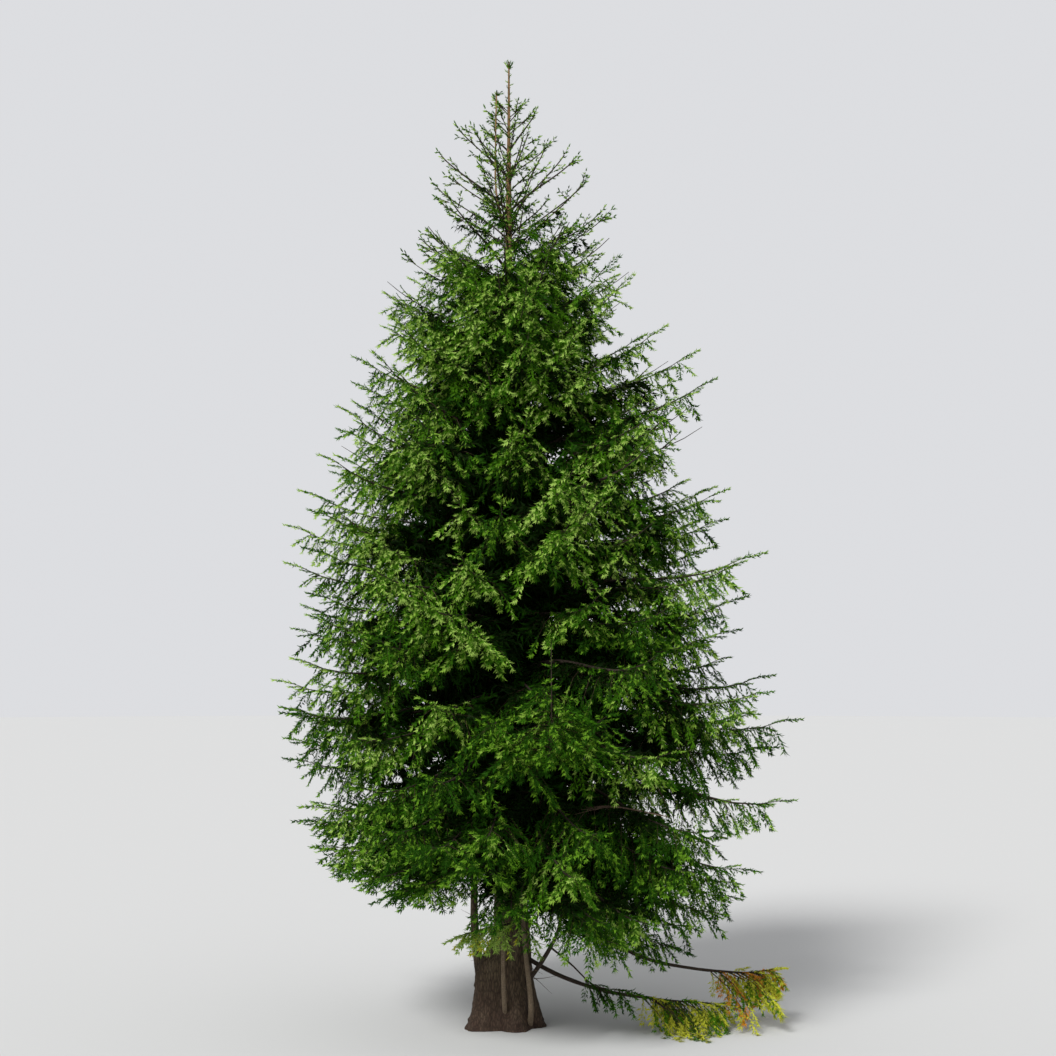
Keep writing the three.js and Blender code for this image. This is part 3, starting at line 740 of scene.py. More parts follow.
def strand(seed, sizes, new_share, coarse):
    """A hanging strand: needles on its own twig, short fingers on both sides and a few at its tip."""
    sprig = Pattern(seed, sizes, coarse, coarse)
    length = coarse * sizes.sprig_length * sprig.between(0.85, 1.15)
    droop = sprig.between(0.1, 0.3)
    half_way = np.array((0.5 * length, 0, -0.1 * droop * length))
    sprig.add_shoot(half_way, 0.5 * length, OLD, 5, spread=0.6)
    tip = sprig.add_shoot((1, 0, -droop), 0.5 * length, OLD, 5, half_way)
    sprig.add_wood(ORIGIN, tip, THIN_WOOD)
    finger = coarse * sizes.shoot_length
    for i in range(sizes.sprig_shoots):
        along = 0.2 + 0.7 * (i + 0.5) / sizes.sprig_shoots
        direction = heading(hand_of(i) * sprig.between(0.45, 0.85), sprig.between(-0.6, 0.25))
        tone = sprig.tone(new_share * (0.5 + along))
        shoot_length = finger * (1.15 - 0.4 * along) * sprig.between(0.85, 1.15)
        sprig.add_shoot(direction, shoot_length, tone, sizes.shoot_needles, tip * along)
    for hand in (0, -1, 1):
        tone = sprig.tone(1.6 * new_share)
        direction = (1, 0.5 * hand, -droop - 0.1 * abs(hand))
        sprig.add_shoot(direction, 0.85 * finger, tone, sizes.shoot_needles, tip)
    return sprig


def inner_spray(seed, sizes):
    """A coarse fan of old needles, in the near-black greens of painted shade."""
    sprig = Pattern(seed, sizes, longer=2.9, wider=2.6)
    for i in range(5):
        direction = heading((i - 2) * 0.5, sprig.between(-0.5, 0.2))
        start = np.array((0.05 * i, 0, 0))
        sprig.add_shoot(direction, sprig.between(0.24, 0.4), DARK, 8, start, spread=0.75, wood=0.004)
    return sprig


def open_twig(seed, sizes):
    """A straight twig near the top of the crown: stubby shoots well apart, and a bud at its tip."""
    sprig = Pattern(seed, sizes)
    length = sizes.sprig_length * sprig.between(0.8, 1.2)
    tip = sprig.add_shoot((1, 0, 0.1), length, OLD, 6, spread=0.7, wood=0.008)
    for i in range(4):
        along = 0.15 + 0.8 * (i + sprig.random()) / 4
        direction = (1, sprig.between(0.5, 0.9) * hand_of(i), sprig.between(-0.8, 0.5))
        tone = sprig.tone(0.45)
        sprig.add_shoot(direction, sprig.between(0.035, 0.07), tone, 6, tip * along, wood=THIN_WOOD)
    sprig.add_shoot((1, 0, 0.4), 0.03, OLD, 5, tip, spread=0.3)
    return sprig


def stub(seed, sizes):
    """One stubby shoot by itself."""
    sprig = Pattern(seed, sizes)
    tone = sprig.tone(0.4)
    sprig.add_shoot((1, 0, 0), sprig.between(0.045, 0.075), tone, 7, spread=0.6, wood=THIN_WOOD)
    return sprig


def finger(seed, sizes):
    """One long hanging shoot with a pale end, as they stand side by side along a bough."""
    sprig = Pattern(seed, sizes)
    length = 1.5 * sizes.shoot_length * sprig.between(0.8, 1.2)
    direction = (1, 0, -0.1)
    end = sprig.add_shoot(direction, 0.6 * length, OLD, 5, spread=0.4)
    tip = sprig.add_shoot(direction, 0.4 * length, sprig.tone(0.5), 4, end, spread=0.4)
    sprig.add_wood(ORIGIN, tip, THIN_WOOD)
    return sprig


def spike(seed, sizes):
    """The bare end of a bough: a straight twig with short sparse needles and a few buds."""
    sprig = Pattern(seed, sizes, longer=0.8, wider=0.8)
    tip = sprig.add_shoot((1, 0, 0.25), SPIKE.length, OLD, 26, spread=0.7, wood=0.014)
    for hand in (-1, 1):
        sprig.add_shoot((1, hand * 0.7, 0.5), 0.05, OLD, 6, tip * 0.9, spread=0.3)
        sprig.add_shoot((1, hand * 0.9, -0.4), 0.06, NEW, 6, tip * 0.55)
        sprig.add_shoot((1, -hand * 0.9, -0.6), 0.08, OLD, 6, tip * 0.25)
    return sprig


def leader(seed, sizes):
    """A metre of leader: single needles all round it, short shoots well apart, and a tuft of buds on top."""
    sprig = Pattern(seed, sizes, wider=0.7)
    tip = sprig.add_shoot((1, 0, 0), 1.0, OLD, 50, spread=0.9)

    def turned(i, width):
        return (1, width * cos(GOLDEN_TURN * i), width * sin(GOLDEN_TURN * i))

    shoots, buds = 24, 9
    for i in range(shoots):
        tone = NEW if i % 3 else OLD
        sprig.add_shoot(turned(i, 1.6), 0.05, tone, 5, tip * (i + 0.5) / shoots, wood=0.006)
    for i in range(buds):
        tone = NEW if i % 3 == 1 else OLD
        sprig.add_shoot(turned(i, 0.6), 0.11, tone, 11, tip * 0.9, spread=0.35)
    return sprig


# Each kind of sprig: its maker, its first seed and what else the maker takes.
PATTERNS = {
    "outer": (strand, 10, {"new_share": 0.55, "coarse": 1.12}),
    "middle": (strand, 30, {"new_share": 0.12, "coarse": 1.3}),
    "inner": (inner_spray, 50, {}),
    "spike": (spike, 70, {}),
    "open": (open_twig, 90, {}),
    "leader": (leader, 110, {}),
    "stub": (stub, 130, {}),
    "finger": (finger, 150, {}),
}
VARIANTS = 6


@functools.cache
def patterns_of(kind, sizes):
    """The patterns of one kind of sprig, in their variants."""
    make, first_seed, values = PATTERNS[kind]
    return [make(first_seed + i, sizes, **values) for i in range(VARIANTS)]


def set_sprigs(growth, sizes):
    """Corners of all needles with the colour of each, and corners of the sprigs' twigs."""
    groups = {}
    for n, sprig in enumerate(growth.sprigs):
        groups.setdefault((sprig.kind, n % VARIANTS), []).append(sprig)
    needles, tones, wood = [], [], []
    for (kind, variant), sprigs in groups.items():
        pattern = patterns_of(kind, sizes)[variant]
        forward = np.array([sprig.direction for sprig in sprigs])
        side = unit(np.cross((0.02, 0.03, 1.0), forward))
        turn = np.stack([forward, side, np.cross(forward, side)], axis=-1)
        turn *= np.array([sprig.scale for sprig in sprigs])[:, None, None]
        place = np.array([sprig.place for sprig in sprigs])[:, None, None]
        for corners, rows in ((pattern.needles, needles), (pattern.wood, wood)):
            rows.append((np.einsum("nij,tvj->ntvi", turn, np.array(corners)) + place).reshape(-1, 3, 3))
        slots = [[LOOK_SLOTS[sprig.look][tone][sprig.tint] for tone in (OLD, NEW, DARK)] for sprig in sprigs]
        tones.append(np.array(slots)[:, pattern.tones].reshape(-1))
    return np.concatenate(needles), np.concatenate(tones), np.concatenate(wood)


NEEDLE_COLOURS = {
    # Painted shade: a near-black green for needles deep in the crown, where only shade falls.
    "Needles in shade": (0.005, 0.018, 0.001),
    "Needles dark green": (0.016, 0.066, 0.002),
    "Needles green": (0.034, 0.118, 0.003),
    "Needles fresh green": (0.060, 0.172, 0.005),
    "Shoots green": (0.125, 0.275, 0.016),
    "Shoots pale green": (0.240, 0.410, 0.050),
    "Shoots bright": (0.360, 0.540, 0.105),
    "Needles yellow": (0.560, 0.580, 0.050),
    "Needles orange": (0.620, 0.270, 0.030),
}
# Which of these colours each look takes for its old, new and dark needles, in three tints.
LOOK_SLOTS = {
    "green": ((1, 2, 3), (4, 5, 6), (0, 0, 1)),
    "shade": ((0, 0, 1), (1, 2, 2), (0, 0, 1)),
    # The dark look takes the painted shade colour for some of its old needles.
    "dark": ((0, 1, 1), (2, 2, 3), (0, 0, 0)),
    # Partly painted light: the spray at the foot is yellow-green, and its colours are paler still to stand in
    # for the light that the crown's shade takes from it.
    "bright": ((5, 6, 6), (6, 7, 6), (4, 4, 4)),
    "ailing": ((3, 7, 8), (7, 7, 8), (3, 3, 3)),
}


# Materials


def fill(tree, node, values):
    """Sets each input that is named or numbered to a value, or links it to a socket."""
    for name, value in values.items():
        if isinstance(value, bpy.types.NodeSocket):
            tree.links.new(value, node.inputs[name])
        else:
            node.inputs[name].default_value = value
    return node


def add_node(tree, kind, values, **settings):
    node = tree.nodes.new(kind)
    for name, value in settings.items():
        setattr(node, name, value)
    return fill(tree, node, values)


def new_material(name):
    material = bpy.data.materials.new(name)
    material.use_nodes = True
    return material, material.node_tree, material.node_tree.nodes["Principled BSDF"]


def plain_material(name, colour, roughness):
    """One colour on all of a spray, with the dull sheen of needles or thin twigs."""
    if name in bpy.data.materials:
        return bpy.data.materials[name]
    material, tree, shader = new_material(name)
    fill(tree, shader, {"Base Color": (*colour, 1), "Roughness": roughness, "Specular IOR Level": 0.05})
    return material


def add_mix(tree, factor, first, second, blend_type="MIX"):
    values = {0: factor, 6: first, 7: second}
    return add_node(tree, "ShaderNodeMix", values, data_type="RGBA", blend_type=blend_type).outputs[2]


def add_range(tree, value, from_min, from_max, to_min=0.0, to_max=1.0):
    values = {"Value": value, "From Min": from_min, "From Max": from_max, "To Min": to_min, "To Max": to_max}
    return add_node(tree, "ShaderNodeMapRange", values).outputs[0]


def add_math(tree, operation, *values):
    return add_node(tree, "ShaderNodeMath", dict(enumerate(values)), operation=operation).outputs[0]


def add_noise(tree, vector, scale, detail, roughness):
    values = {"Vector": vector, "Scale": scale, "Detail": detail, "Roughness": roughness}
    return add_node(tree, "ShaderNodeTexNoise", values).outputs["Fac"]


BARK_INPUTS = {
    "Plate colour": (0.07, 0.045, 0.025, 1),
    "Patch colour": (0.15, 0.11, 0.06, 1),
    # Partly painted shade: the cracks are near-black, darker than the bark's own colour there, as shade falls
    # in them.
    "Crack colour": (0.01, 0.008, 0.006, 1),
    "Foot colour": (0.05, 0.02, 0.017, 1),
    "Top colour": (0.3, 0.17, 0.07, 1),
    "Foot height": 0.0,
    "Top height": 100.0,
    "Flake scale": 60.0,
    "Stretch": 0.4,
    "Patchiness": 0.5,
}
BARK_OUTPUTS = {"Color": "NodeSocketColor", "Roughness": "NodeSocketFloat", "Height": "NodeSocketFloat"}


def bark_masks(group, given, place):
    """Where the cracks, fibres and patches of the bark are, all drawn out along the trunk."""
    squeeze = add_node(group, "ShaderNodeCombineXYZ", {"X": 1, "Y": 1, "Z": given["Stretch"]}).outputs[0]
    stretched = add_node(group, "ShaderNodeVectorMath", {0: place, 1: squeeze}, operation="MULTIPLY")
    stretched = stretched.outputs[0]
    flakes = {"Vector": stretched, "Scale": given["Flake scale"]}
    edge = add_node(group, "ShaderNodeTexVoronoi", flakes, feature="DISTANCE_TO_EDGE").outputs["Distance"]
    cracks = add_range(group, edge, 0.0, 0.25, 0.35, 1.0)
    fibre = add_noise(group, stretched, 110.0, 6.0, 0.75)
    patch = add_range(group, add_noise(group, stretched, 8.0, 8.0, 0.78), 0.42, 0.6)
    return cracks, fibre, add_math(group, "MULTIPLY", patch, given["Patchiness"])


def bark_group():
    """Scaly bark: flakes with thin cracks darkened partly by painted shade, fibres, paler patches, a dark
    foot and a young top.
    """
    name = "Scaly bark"
    if name in bpy.data.node_groups:
        return bpy.data.node_groups[name]
    group = bpy.data.node_groups.new(name, "ShaderNodeTree")
    for label, default in BARK_INPUTS.items():
        kind = "NodeSocketColor" if isinstance(default, tuple) else "NodeSocketFloat"
        group.interface.new_socket(label, in_out="INPUT", socket_type=kind).default_value = default
    for label, kind in BARK_OUTPUTS.items():
        group.interface.new_socket(label, in_out="OUTPUT", socket_type=kind)
    given = group.nodes.new("NodeGroupInput").outputs
    place = group.nodes.new("ShaderNodeTexCoord").outputs["Object"]
    height = add_node(group, "ShaderNodeSeparateXYZ", {0: place}).outputs["Z"]
    cracks, fibre, patch = bark_masks(group, given, place)
    near_foot = add_range(group, height, given["Foot height"], 0.0, 0.0, 0.7)
    near_top = add_range(group, add_math(group, "SUBTRACT", height, given["Top height"]), 0.0, 1.6)
    colour = add_mix(group, patch, given["Plate colour"], given["Patch colour"])
    colour = add_mix(group, near_foot, colour, given["Foot colour"])
    colour = add_mix(group, near_top, colour, given["Top colour"])
    colour = add_mix(group, 0.8, colour, fibre, "OVERLAY")
    # Partly painted shade: the cracks take the near-black crack colour.
    colour = add_mix(group, cracks, given["Crack colour"], colour)
    raised = add_math(group, "MULTIPLY_ADD", fibre, 0.6, cracks)
    roughness = add_range(group, fibre, 0.0, 1.0, 0.98, 0.75)
    add_node(group, "NodeGroupOutput", {"Color": colour, "Roughness": roughness, "Height": raised})
    return group


def bark_material(name, relief, looks):
    """A bark with the looks that are given by the names of the group's inputs."""
    if name in bpy.data.materials:
        return bpy.data.materials[name]
    material, tree, shader = new_material(name)
    looks = {label: (*value, 1) if "colour" in label else value for label, value in looks.items()}
    bark = add_node(tree, "ShaderNodeGroup", looks, node_tree=bark_group()).outputs
    raised = {"Strength": 0.8, "Distance": relief, "Height": bark["Height"]}
    normal = add_node(tree, "ShaderNodeBump", raised).outputs["Normal"]
    fill(tree, shader, {"Base Color": bark["Color"], "Roughness": bark["Roughness"], "Normal": normal})
    shader.inputs["Specular IOR Level"].default_value = 0.2
    return material


def old_bark(colours):
    """The trunk's bark, dark at the foot, with grey patches and a tan young top."""
    parts = ("plate", "patch", "crack", "foot", "top")
    looks = {f"{part.capitalize()} colour": getattr(colours, f"bark_{part}") for part in parts}
    looks |= {"Foot height": 1.3, "Top height": 8.0, "Flake scale": 38.0, "Stretch": 0.22, "Patchiness": 1.0}
    return bark_material("Old spruce bark", 0.006, looks)


def thin_bark(name, colour):
    """The bark of boughs and young stems in one colour with its own darker and paler flakes."""
    looks = {
        "Plate colour": colour,
        "Patch colour": [1.7 * channel for channel in colour],
        # Partly painted shade: the cracks are much darker than the bark.
        "Crack colour": [0.3 * channel for channel in colour],
        "Foot colour": colour,
        "Flake scale": 90.0,
        "Stretch": 0.7,
    }
    return bark_material(name, 0.002, looks)


def bough_bark(colours):
    return thin_bark("Bough bark", colours.bough_bark)


def twig_bark(colours):
    return plain_material("Twig bark", colours.twig_bark, 0.8)


def dead_wood(colours):
    return plain_material("Dead twigs", colours.dead_wood, 0.85)


def needle_materials():
    return [plain_material(name, colour, 0.62) for name, colour in NEEDLE_COLOURS.items()]


# What a user may change


def a_length(label, description, default):
    return bpy.props.FloatProperty(name=label, description=description, default=default, min=0, unit="LENGTH")


def a_number(label, description, default):
    return bpy.props.FloatProperty(name=label, description=description, default=default, min=0)


def a_count(label, description, default):
    return bpy.props.IntProperty(name=label, description=description, default=default, min=2)


def a_colour(label, description, default):
    return bpy.props.FloatVectorProperty(
        name=label, description=description, default=default, subtype="COLOR", min=0, max=1
    )


class SpruceSizes(bpy.types.PropertyGroup):
    """Sizes of the twigs, shoots, needles and bark."""

    needle_length: a_length("Needle length", "Length of a needle", 0.04)
    needle_width: a_length("Needle width", "Width of a needle at its foot", 0.021)
    shoot_length: a_length("Shoot length", "Length of the short side shoots", 0.065)
    shoot_needles: a_count("Needles on a shoot", "Number of needles round each shoot", 4)
    sprig_length: a_length("Sprig length", "From the foot of a sprig to its last shoots", 0.2)
    sprig_shoots: a_count("Shoots on a sprig", "Number of shoots on each sprig", 6)
    sprig_spacing: a_length("Sprig spacing", "Distance between sprigs along a twig", 0.14)
    twig_spacing: a_length("Twig spacing", "Distance between twigs on one side of a bough", 0.23)
    twig_sag: a_number("Twig sag", "How far a twig's tip hangs, as a share of its length", 0.42)
    ridge_spacing: a_length("Ridge spacing", "Distance between sprigs on top of a bough", 0.1)
    tip_length: a_length("Tip length", "How far the last shoots stand past a bough's wood", 0.19)
    finger_spacing: a_length("Finger spacing", "Distance between long shoots under a bough", 0.037)
    dead_per_metre: a_number("Dead twigs", "Bare dead twigs on each metre of a low bough", 3)
    inner_per_metre: a_number("Inner sprays", "Coarse dark sprays on each metre of a bough", 8)
    bark_depth: a_length("Bark depth", "How far the plates of the bark stand out", 0.012)


class SpruceColours(bpy.types.PropertyGroup):
    """Colours of the bark and the floor."""

    bark_plate: a_colour("Bark plates", "Main colour of the old bark", (0.092, 0.066, 0.038))
    bark_patch: a_colour("Bark patches", "Paler patches on the old bark", (0.2, 0.155, 0.095))
    # Partly painted shade: the near-black colour in the bark's cracks.
    bark_crack: a_colour("Bark cracks", "Colour in the cracks of the bark", (0.014, 0.01, 0.007))
    bark_foot: a_colour("Bark at the foot", "Colour of the swollen foot", (0.045, 0.02, 0.019))
    bark_top: a_colour("Bark at the top", "Colour of the young bark near the top", (0.32, 0.19, 0.09))
    young_bark: a_colour("Young bark", "Colour of the thin stems' bark", (0.2, 0.15, 0.1))
    bough_bark: a_colour("Bough bark", "Colour of the boughs' bark", (0.052, 0.038, 0.028))
    twig_bark: a_colour("Twig bark", "Colour of the thin twigs", (0.05, 0.035, 0.022))
    dead_wood: a_colour("Dead wood", "Colour of dead twigs", (0.17, 0.115, 0.085))
    floor: a_colour("Floor", "Colour of the floor", (0.68, 0.68, 0.67))


def settled(group):
    """The values of a property group as they are now, in a form that can be compared."""
    keys = list(type(group).__annotations__)
    values = [getattr(group, key) for key in keys]
    plain = [value if isinstance(value, (int, float)) else tuple(value) for value in values]
    return namedtuple("Settled", keys)(*plain)


def set_by_user(context):
    return settled(context.scene.spruce_sizes), settled(context.scene.spruce_colours)


# The pieces


def wrinkles(skin):
    """Folds that run level across the swollen root."""
    across, upwards = WRINKLES.across, WRINKLES.upwards
    folds = np.array([noise.noise(Vector((across * x, across * y, upwards * z))) for x, y, z in skin])
    azimuth = np.arctan2(skin[:, 1], skin[:, 0])
    share = np.exp(-((angle_between(azimuth, MOUND.azimuth) / MOUND.spread) ** 2))
    return WRINKLES.depth * folds * share * (1 - smoothstep(skin[:, 2], WRINKLES.fade_from, MOUND.top))


def cap(first, sides, middle):
    """Triangles from a ring of vertices to one more vertex in its middle."""
    ring = first + np.arange(sides)
    return np.stack([ring, np.roll(ring, -1), np.full(sides, middle)], axis=-1)


def make_trunk(sizes, colours):
    """The trunk with its bark in relief, on rings that stand closer together near the foot."""
    rings, sides = TRUNK_SKIN.rings, TRUNK_SKIN.sides
    heights = HEIGHT * np.linspace(0, 1, rings) ** TRUNK_SKIN.closer_below
    azimuths = np.arange(sides) * 2 * pi / sides
    height, azimuth = np.meshgrid(heights, azimuths, indexing="ij")
    radius = trunk_radius(height, azimuth)
    skin = place_round(height, azimuth, radius)
    depth = np.interp(height.ravel(), RELIEF_AT[:, 0], RELIEF_AT[:, 1])
    relief = bark_relief(skin, TRUNK_SKIN.flake, sizes.bark_depth, TRUNK_SKIN.fibre) * depth + wrinkles(skin)
    vertices = place_round(height, azimuth, radius + relief.reshape(radius.shape))
    count = len(vertices)
    cut, top = cap(0, sides, count)[:, [1, 0, 2]], cap(count - sides, sides, count + 1)
    triangles = np.concatenate([tube_triangles(1, rings, sides), cut, top])
    vertices = np.vstack([vertices, [[trunk_lean(0), 0, 0]], [[trunk_lean(HEIGHT), 0, HEIGHT]]])
    mesh_piece("Trunk_bark", vertices, triangles, [old_bark(colours)], "bark", ["trunk"], smooth=True)


def limb_tube(name, depth, sides=LIMB.sides):
    """A limb at the foot with its bark in relief and a rounded end."""
    limb = FOOT_LIMBS[name]
    line = smooth_line(limb.places, LIMB.steps)
    line, radii = tapered(line, limb.root_radius, limb.tip_radius)
    radii[-1] *= LIMB.blunt_end
    skin, _ = tubes(line[None], radii[None], sides)
    relief = bark_relief(skin, LIMB.flake, LIMB.relief * depth, LIMB.fibre).reshape(1, len(line), sides)
    vertices, triangles = tubes(line[None], radii[None, :, None] + relief, sides)
    end = cap(len(vertices) - sides, sides, len(vertices))
    return np.vstack([vertices, line[-1:]]), np.concatenate([triangles, end])


def make_limbs(piece_name, limbs, material, slot, depth):
    tubes_and_ends = join([limb_tube(limb, depth) for limb in limbs])
    mesh_piece(piece_name, *tubes_and_ends, [material], slot, limbs, smooth=True)


def dead_twigs_on_trunk(random):
    """Short dead twigs that stand out from the lower trunk on all sides."""
    twigs = []
    for i in range(TRUNK_TWIGS.count):
        azimuth = GOLDEN_TURN * i + random()
        height = TRUNK_TWIGS.lowest + (TRUNK_TWIGS.highest - TRUNK_TWIGS.lowest) * random()
        root = place_round(height, azimuth, trunk_radius(height, azimuth) - 0.01)[0]
        length = TRUNK_TWIGS.length * (0.4 + random())
        rise = 1.2 * random() - 1
        bend = 0.6 * random() - 0.2
        twigs.append(dead_twig(root, azimuth, rise, length, bend, TRUNK_TWIGS.radius))
    return twigs


def make_dead_wood(sizes, colours):
    """A bare dead branch at the front right with its twigs, and the dead twigs on the trunk."""
    growth = new_growth()
    random = seeded(7)
    grower = BoughGrower(growth, random, sizes)
    line = smooth_line(FOOT_LIMBS["dead_branch"].places, STEM.steps - 1)
    for _ in range(3):
        grower.grow_dead_twigs(line[3:], 2.4)
    twigs = tubes_of(growth.dead + dead_twigs_on_trunk(random), TWIG.sides)
    wood = join([limb_tube("dead_branch", 0.002, 8), twigs])
    mesh_piece("Dead_wood", *wood, [dead_wood(colours)], "bark", smooth=True)


def make_foliage(label, growth, sizes, colours, nodes, slot):
    """The needles and the twigs of one growth, each kind a piece of its own."""
    needles, tones, wood = set_sprigs(growth, sizes)
    vertices, triangles = loose_triangles(needles)
    vertices[:, 2] = np.maximum(vertices[:, 2], ABOVE_GROUND)
    mesh_piece(f"{label}_needles", vertices, triangles, needle_materials(), slot, nodes, tones)
    live = [tubes_of(growth.twigs, TWIG.sides), loose_triangles(wood)]
    dead = [tubes_of(growth.dead, TWIG.sides)] if growth.dead else []
    vertices, triangles = join(live + dead)
    vertices[:, 2] = np.maximum(vertices[:, 2], ABOVE_GROUND)
    is_dead = np.arange(len(triangles)) >= sum(len(part) for _, part in live)
    barks = [twig_bark(colours), dead_wood(colours)]
    mesh_piece(f"{label}_twigs", vertices, triangles, barks, "bark", tones=is_dead)


def nodes_with(beginning):
    return [node for node in NODES if node.startswith(beginning)]


def make_main_boughs(sizes, colours):
    rows = [row for growth in crown_growth(sizes) for row in growth.boughs]
    boughs = tubes_of(rows, STEM.sides)
    nodes = nodes_with("main_bough_")
    mesh_piece("Main_boughs", *boughs, [bough_bark(colours)], "bark", nodes, smooth=True)


def make_tier_foliage(sizes, colours):
    for tier, growth in enumerate(crown_growth(sizes)):
        label = f"{tier + 1:02d}"
        make_foliage(f"Tier_{label}", growth, sizes, colours, nodes_with(f"foliage_{label}_"), "needles")


def make_spray(node, seed, sizes, colours):
    """A spray or a leader on a line of its own, with its stem."""
    own = OWN_PLACES[node]
    is_side_leader = node == "side_leader"
    line = smooth_line(own.places, STEM.steps - 1)
    length = np.linalg.norm(np.diff(line, axis=0), axis=1).sum()
    growth = new_growth()
    grower = BoughGrower(growth, seeded(seed), sizes, own.look)
    grower.open_from = own.open_from
    grower.fullness = own.fullness
    grower.hang = own.hang
    if own.spread:
        grower.grow_upright(line, length, own.spread)
    else:
        grower.grow(line, length, own.bare)
    slot = "pale_needles" if own.look in ("ailing", "bright") else "needles"
    make_foliage(node.capitalize(), growth, sizes, colours, [node], slot)
    bark = thin_bark("Side leader bark", colours.bark_top) if is_side_leader else bough_bark(colours)
    tip = OWN_STEM.side_leader_tip if is_side_leader else STEM.tip
    tube = tubes_of([tapered(line, OWN_STEM.radius, tip, STEM.taper)], OWN_STEM.sides)
    mesh_piece(f"{node.capitalize()}_stem", *tube, [bark], "bark", smooth=True)


def make_floor(colours):
    angles = np.arange(FLOOR.corners) * 2 * pi / FLOOR.corners
    rim = [(FLOOR.radius * cos(a), FLOOR.radius * sin(a), 0) for a in angles]
    mesh = bpy.data.meshes.new("Floor")
    mesh.from_pydata(rim, [], [list(range(FLOOR.corners))])
    mesh.materials.append(plain_material("Floor", colours.floor, 0.9))
    floor = new_object("Floor", mesh)
    floor.location.z = -FLOOR.sunk


def make_sky():
    """A soft sky that is seen brighter than it lights."""
    world = bpy.data.worlds.new("Soft sky")
    world.use_nodes = True
    tree = world.node_tree
    backdrop = fill(tree, tree.nodes["Background"], {"Color": SKY.colour, "Strength": SKY.seen})
    daylight = add_node(tree, "ShaderNodeBackground", {"Color": SKY.colour, "Strength": SKY.light})
    is_seen = add_node(tree, "ShaderNodeLightPath", {}).outputs["Is Camera Ray"]
    choice = {0: is_seen, 1: daylight.outputs[0], 2: backdrop.outputs[0]}
    chosen = add_node(tree, "ShaderNodeMixShader", choice).outputs[0]
    fill(tree, tree.nodes["World Output"], {"Surface": chosen})
    bpy.context.scene.world = world
    bpy.context.scene.view_settings.view_transform = "Standard"


def make_key_light():
    sun = bpy.data.lights.new("Soft key light", "SUN")
    sun.energy = KEY_LIGHT.energy
    sun.angle = radians(KEY_LIGHT.softness)
    lamp = new_object("Soft key light", sun)
    lamp.rotation_euler = [radians(angle) for angle in KEY_LIGHT.turned]


def make_camera():
    camera = new_object("Camera", bpy.data.cameras.new("Camera"))
    camera.data.lens = CAMERA.lens
    camera.data.sensor_width = CAMERA.sensor
    camera.data.clip_end = CAMERA.sees
    camera.location = CAMERA.place
    camera.rotation_euler = (radians(90 + CAMERA.tilt), 0, 0)
    bpy.context.scene.camera = camera


# Operators


class SPRUCE_OT_stage(bpy.types.Operator):
    """Make the floor, the light and the camera"""

    bl_idname = "spruce.stage"
    bl_label = "Floor, light and camera"

    def execute(self, context):
        _, colours = set_by_user(context)
        make_floor(colours)
        make_sky()
        make_key_light()
        make_camera()
        return {"FINISHED"}


class SPRUCE_OT_trunk(bpy.types.Operator):
    """Make the trunk with its root flare and its bark in relief"""

    bl_idname = "spruce.trunk"
    bl_label = "Trunk"

    def execute(self, context):
        make_trunk(*set_by_user(context))
        return {"FINISHED"}


class SPRUCE_OT_foot_stems(bpy.types.Operator):
    """Make the thin stems and the bent limb that rise at the foot"""

    bl_idname = "spruce.foot_stems"
    bl_label = "Stems at the foot"

    def execute(self, context):
        _, colours = set_by_user(context)
        pale = thin_bark("Young stem bark", colours.young_bark)
        make_limbs("Left_stem_bark", ["left_stem"], old_bark(colours), "bark", 0.006)
        make_limbs("Front_stems_bark", ["front_stem_left", "front_stem_right"], pale, "young_bark", 0.002)
        make_limbs("Right_limb_bark", ["right_limb"], bough_bark(colours), "bark", 0.003)
        return {"FINISHED"}


class SPRUCE_OT_low_boughs(bpy.types.Operator):
    """Make the two long low boughs, the bough that carries the front leader, and the dead wood"""

    bl_idname = "spruce.low_boughs"
    bl_label = "Low boughs"

    def execute(self, context):
        sizes, colours = set_by_user(context)
        limbs = ["low_bough_lower", "low_bough_upper", "front_bough"]
        make_limbs("Low_boughs_bark", limbs, bough_bark(colours), "bark", 0.003)
        make_dead_wood(sizes, colours)
        return {"FINISHED"}


class SPRUCE_OT_main_boughs(bpy.types.Operator):
    """Make the boughs of all tiers"""

    bl_idname = "spruce.main_boughs"
    bl_label = "Main boughs"

    def execute(self, context):
        make_main_boughs(*set_by_user(context))
        return {"FINISHED"}


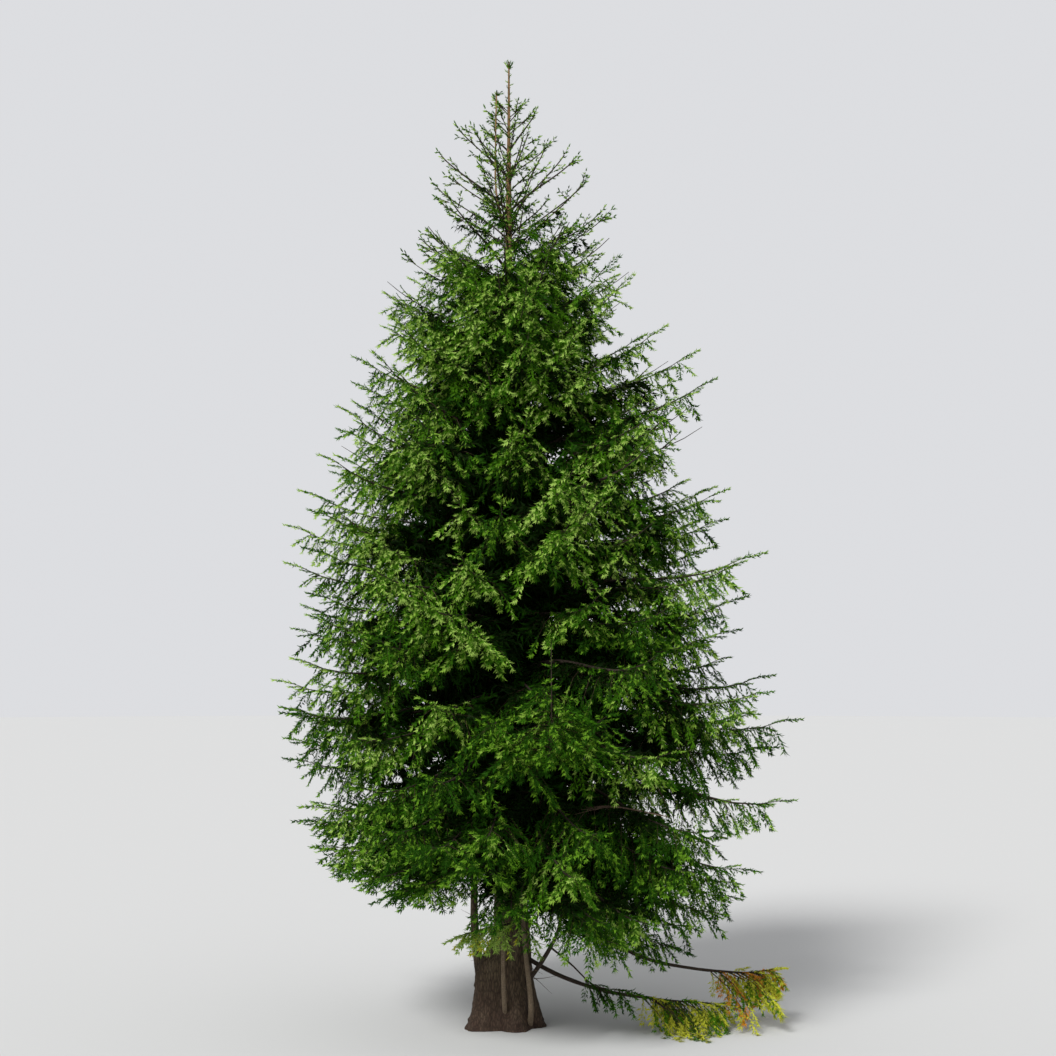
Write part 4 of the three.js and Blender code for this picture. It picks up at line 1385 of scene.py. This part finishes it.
class SPRUCE_OT_foliage(bpy.types.Operator):
    """Make the twigs and needles of each tier"""

    bl_idname = "spruce.foliage"
    bl_label = "Foliage in tiers"

    def execute(self, context):
        make_tier_foliage(*set_by_user(context))
        return {"FINISHED"}


class SPRUCE_OT_sprays_and_leaders(bpy.types.Operator):
    """Make the sprays near the foot and the two extra leaders"""

    bl_idname = "spruce.sprays_and_leaders"
    bl_label = "Sprays and leaders"

    def execute(self, context):
        for n, node in enumerate(OWN_PLACES):
            make_spray(node, OWN_STEM.first_seed + n, *set_by_user(context))
        return {"FINISHED"}


OPERATORS = [
    SPRUCE_OT_stage,
    SPRUCE_OT_trunk,
    SPRUCE_OT_foot_stems,
    SPRUCE_OT_low_boughs,
    SPRUCE_OT_main_boughs,
    SPRUCE_OT_foliage,
    SPRUCE_OT_sprays_and_leaders,
]


class SPRUCE_PT_panel(bpy.types.Panel):
    """Lists the pieces of the tree and what may be changed on them"""

    bl_idname = "SPRUCE_PT_panel"
    bl_label = "Spruce tree"
    bl_space_type = "VIEW_3D"
    bl_region_type = "UI"
    bl_category = "Spruce"

    def draw(self, context):
        for group in (context.scene.spruce_sizes, context.scene.spruce_colours):
            box = self.layout.box()
            for key in type(group).__annotations__:
                box.prop(group, key)
        for operator in OPERATORS:
            self.layout.operator(operator.bl_idname)


CLASSES = [SpruceSizes, SpruceColours, *OPERATORS, SPRUCE_PT_panel]


def register():
    for kind in CLASSES:
        bpy.utils.register_class(kind)
    bpy.types.Scene.spruce_sizes = bpy.props.PointerProperty(type=SpruceSizes)
    bpy.types.Scene.spruce_colours = bpy.props.PointerProperty(type=SpruceColours)


def unregister():
    del bpy.types.Scene.spruce_colours
    del bpy.types.Scene.spruce_sizes
    for kind in reversed(CLASSES):
        bpy.utils.unregister_class(kind)


def main():
    register()
    bpy.ops.spruce.stage()
    bpy.ops.spruce.trunk()
    bpy.ops.spruce.foot_stems()
    bpy.ops.spruce.low_boughs()
    bpy.ops.spruce.main_boughs()
    bpy.ops.spruce.foliage()
    bpy.ops.spruce.sprays_and_leaders()


if __name__ == "__main__":
    main()
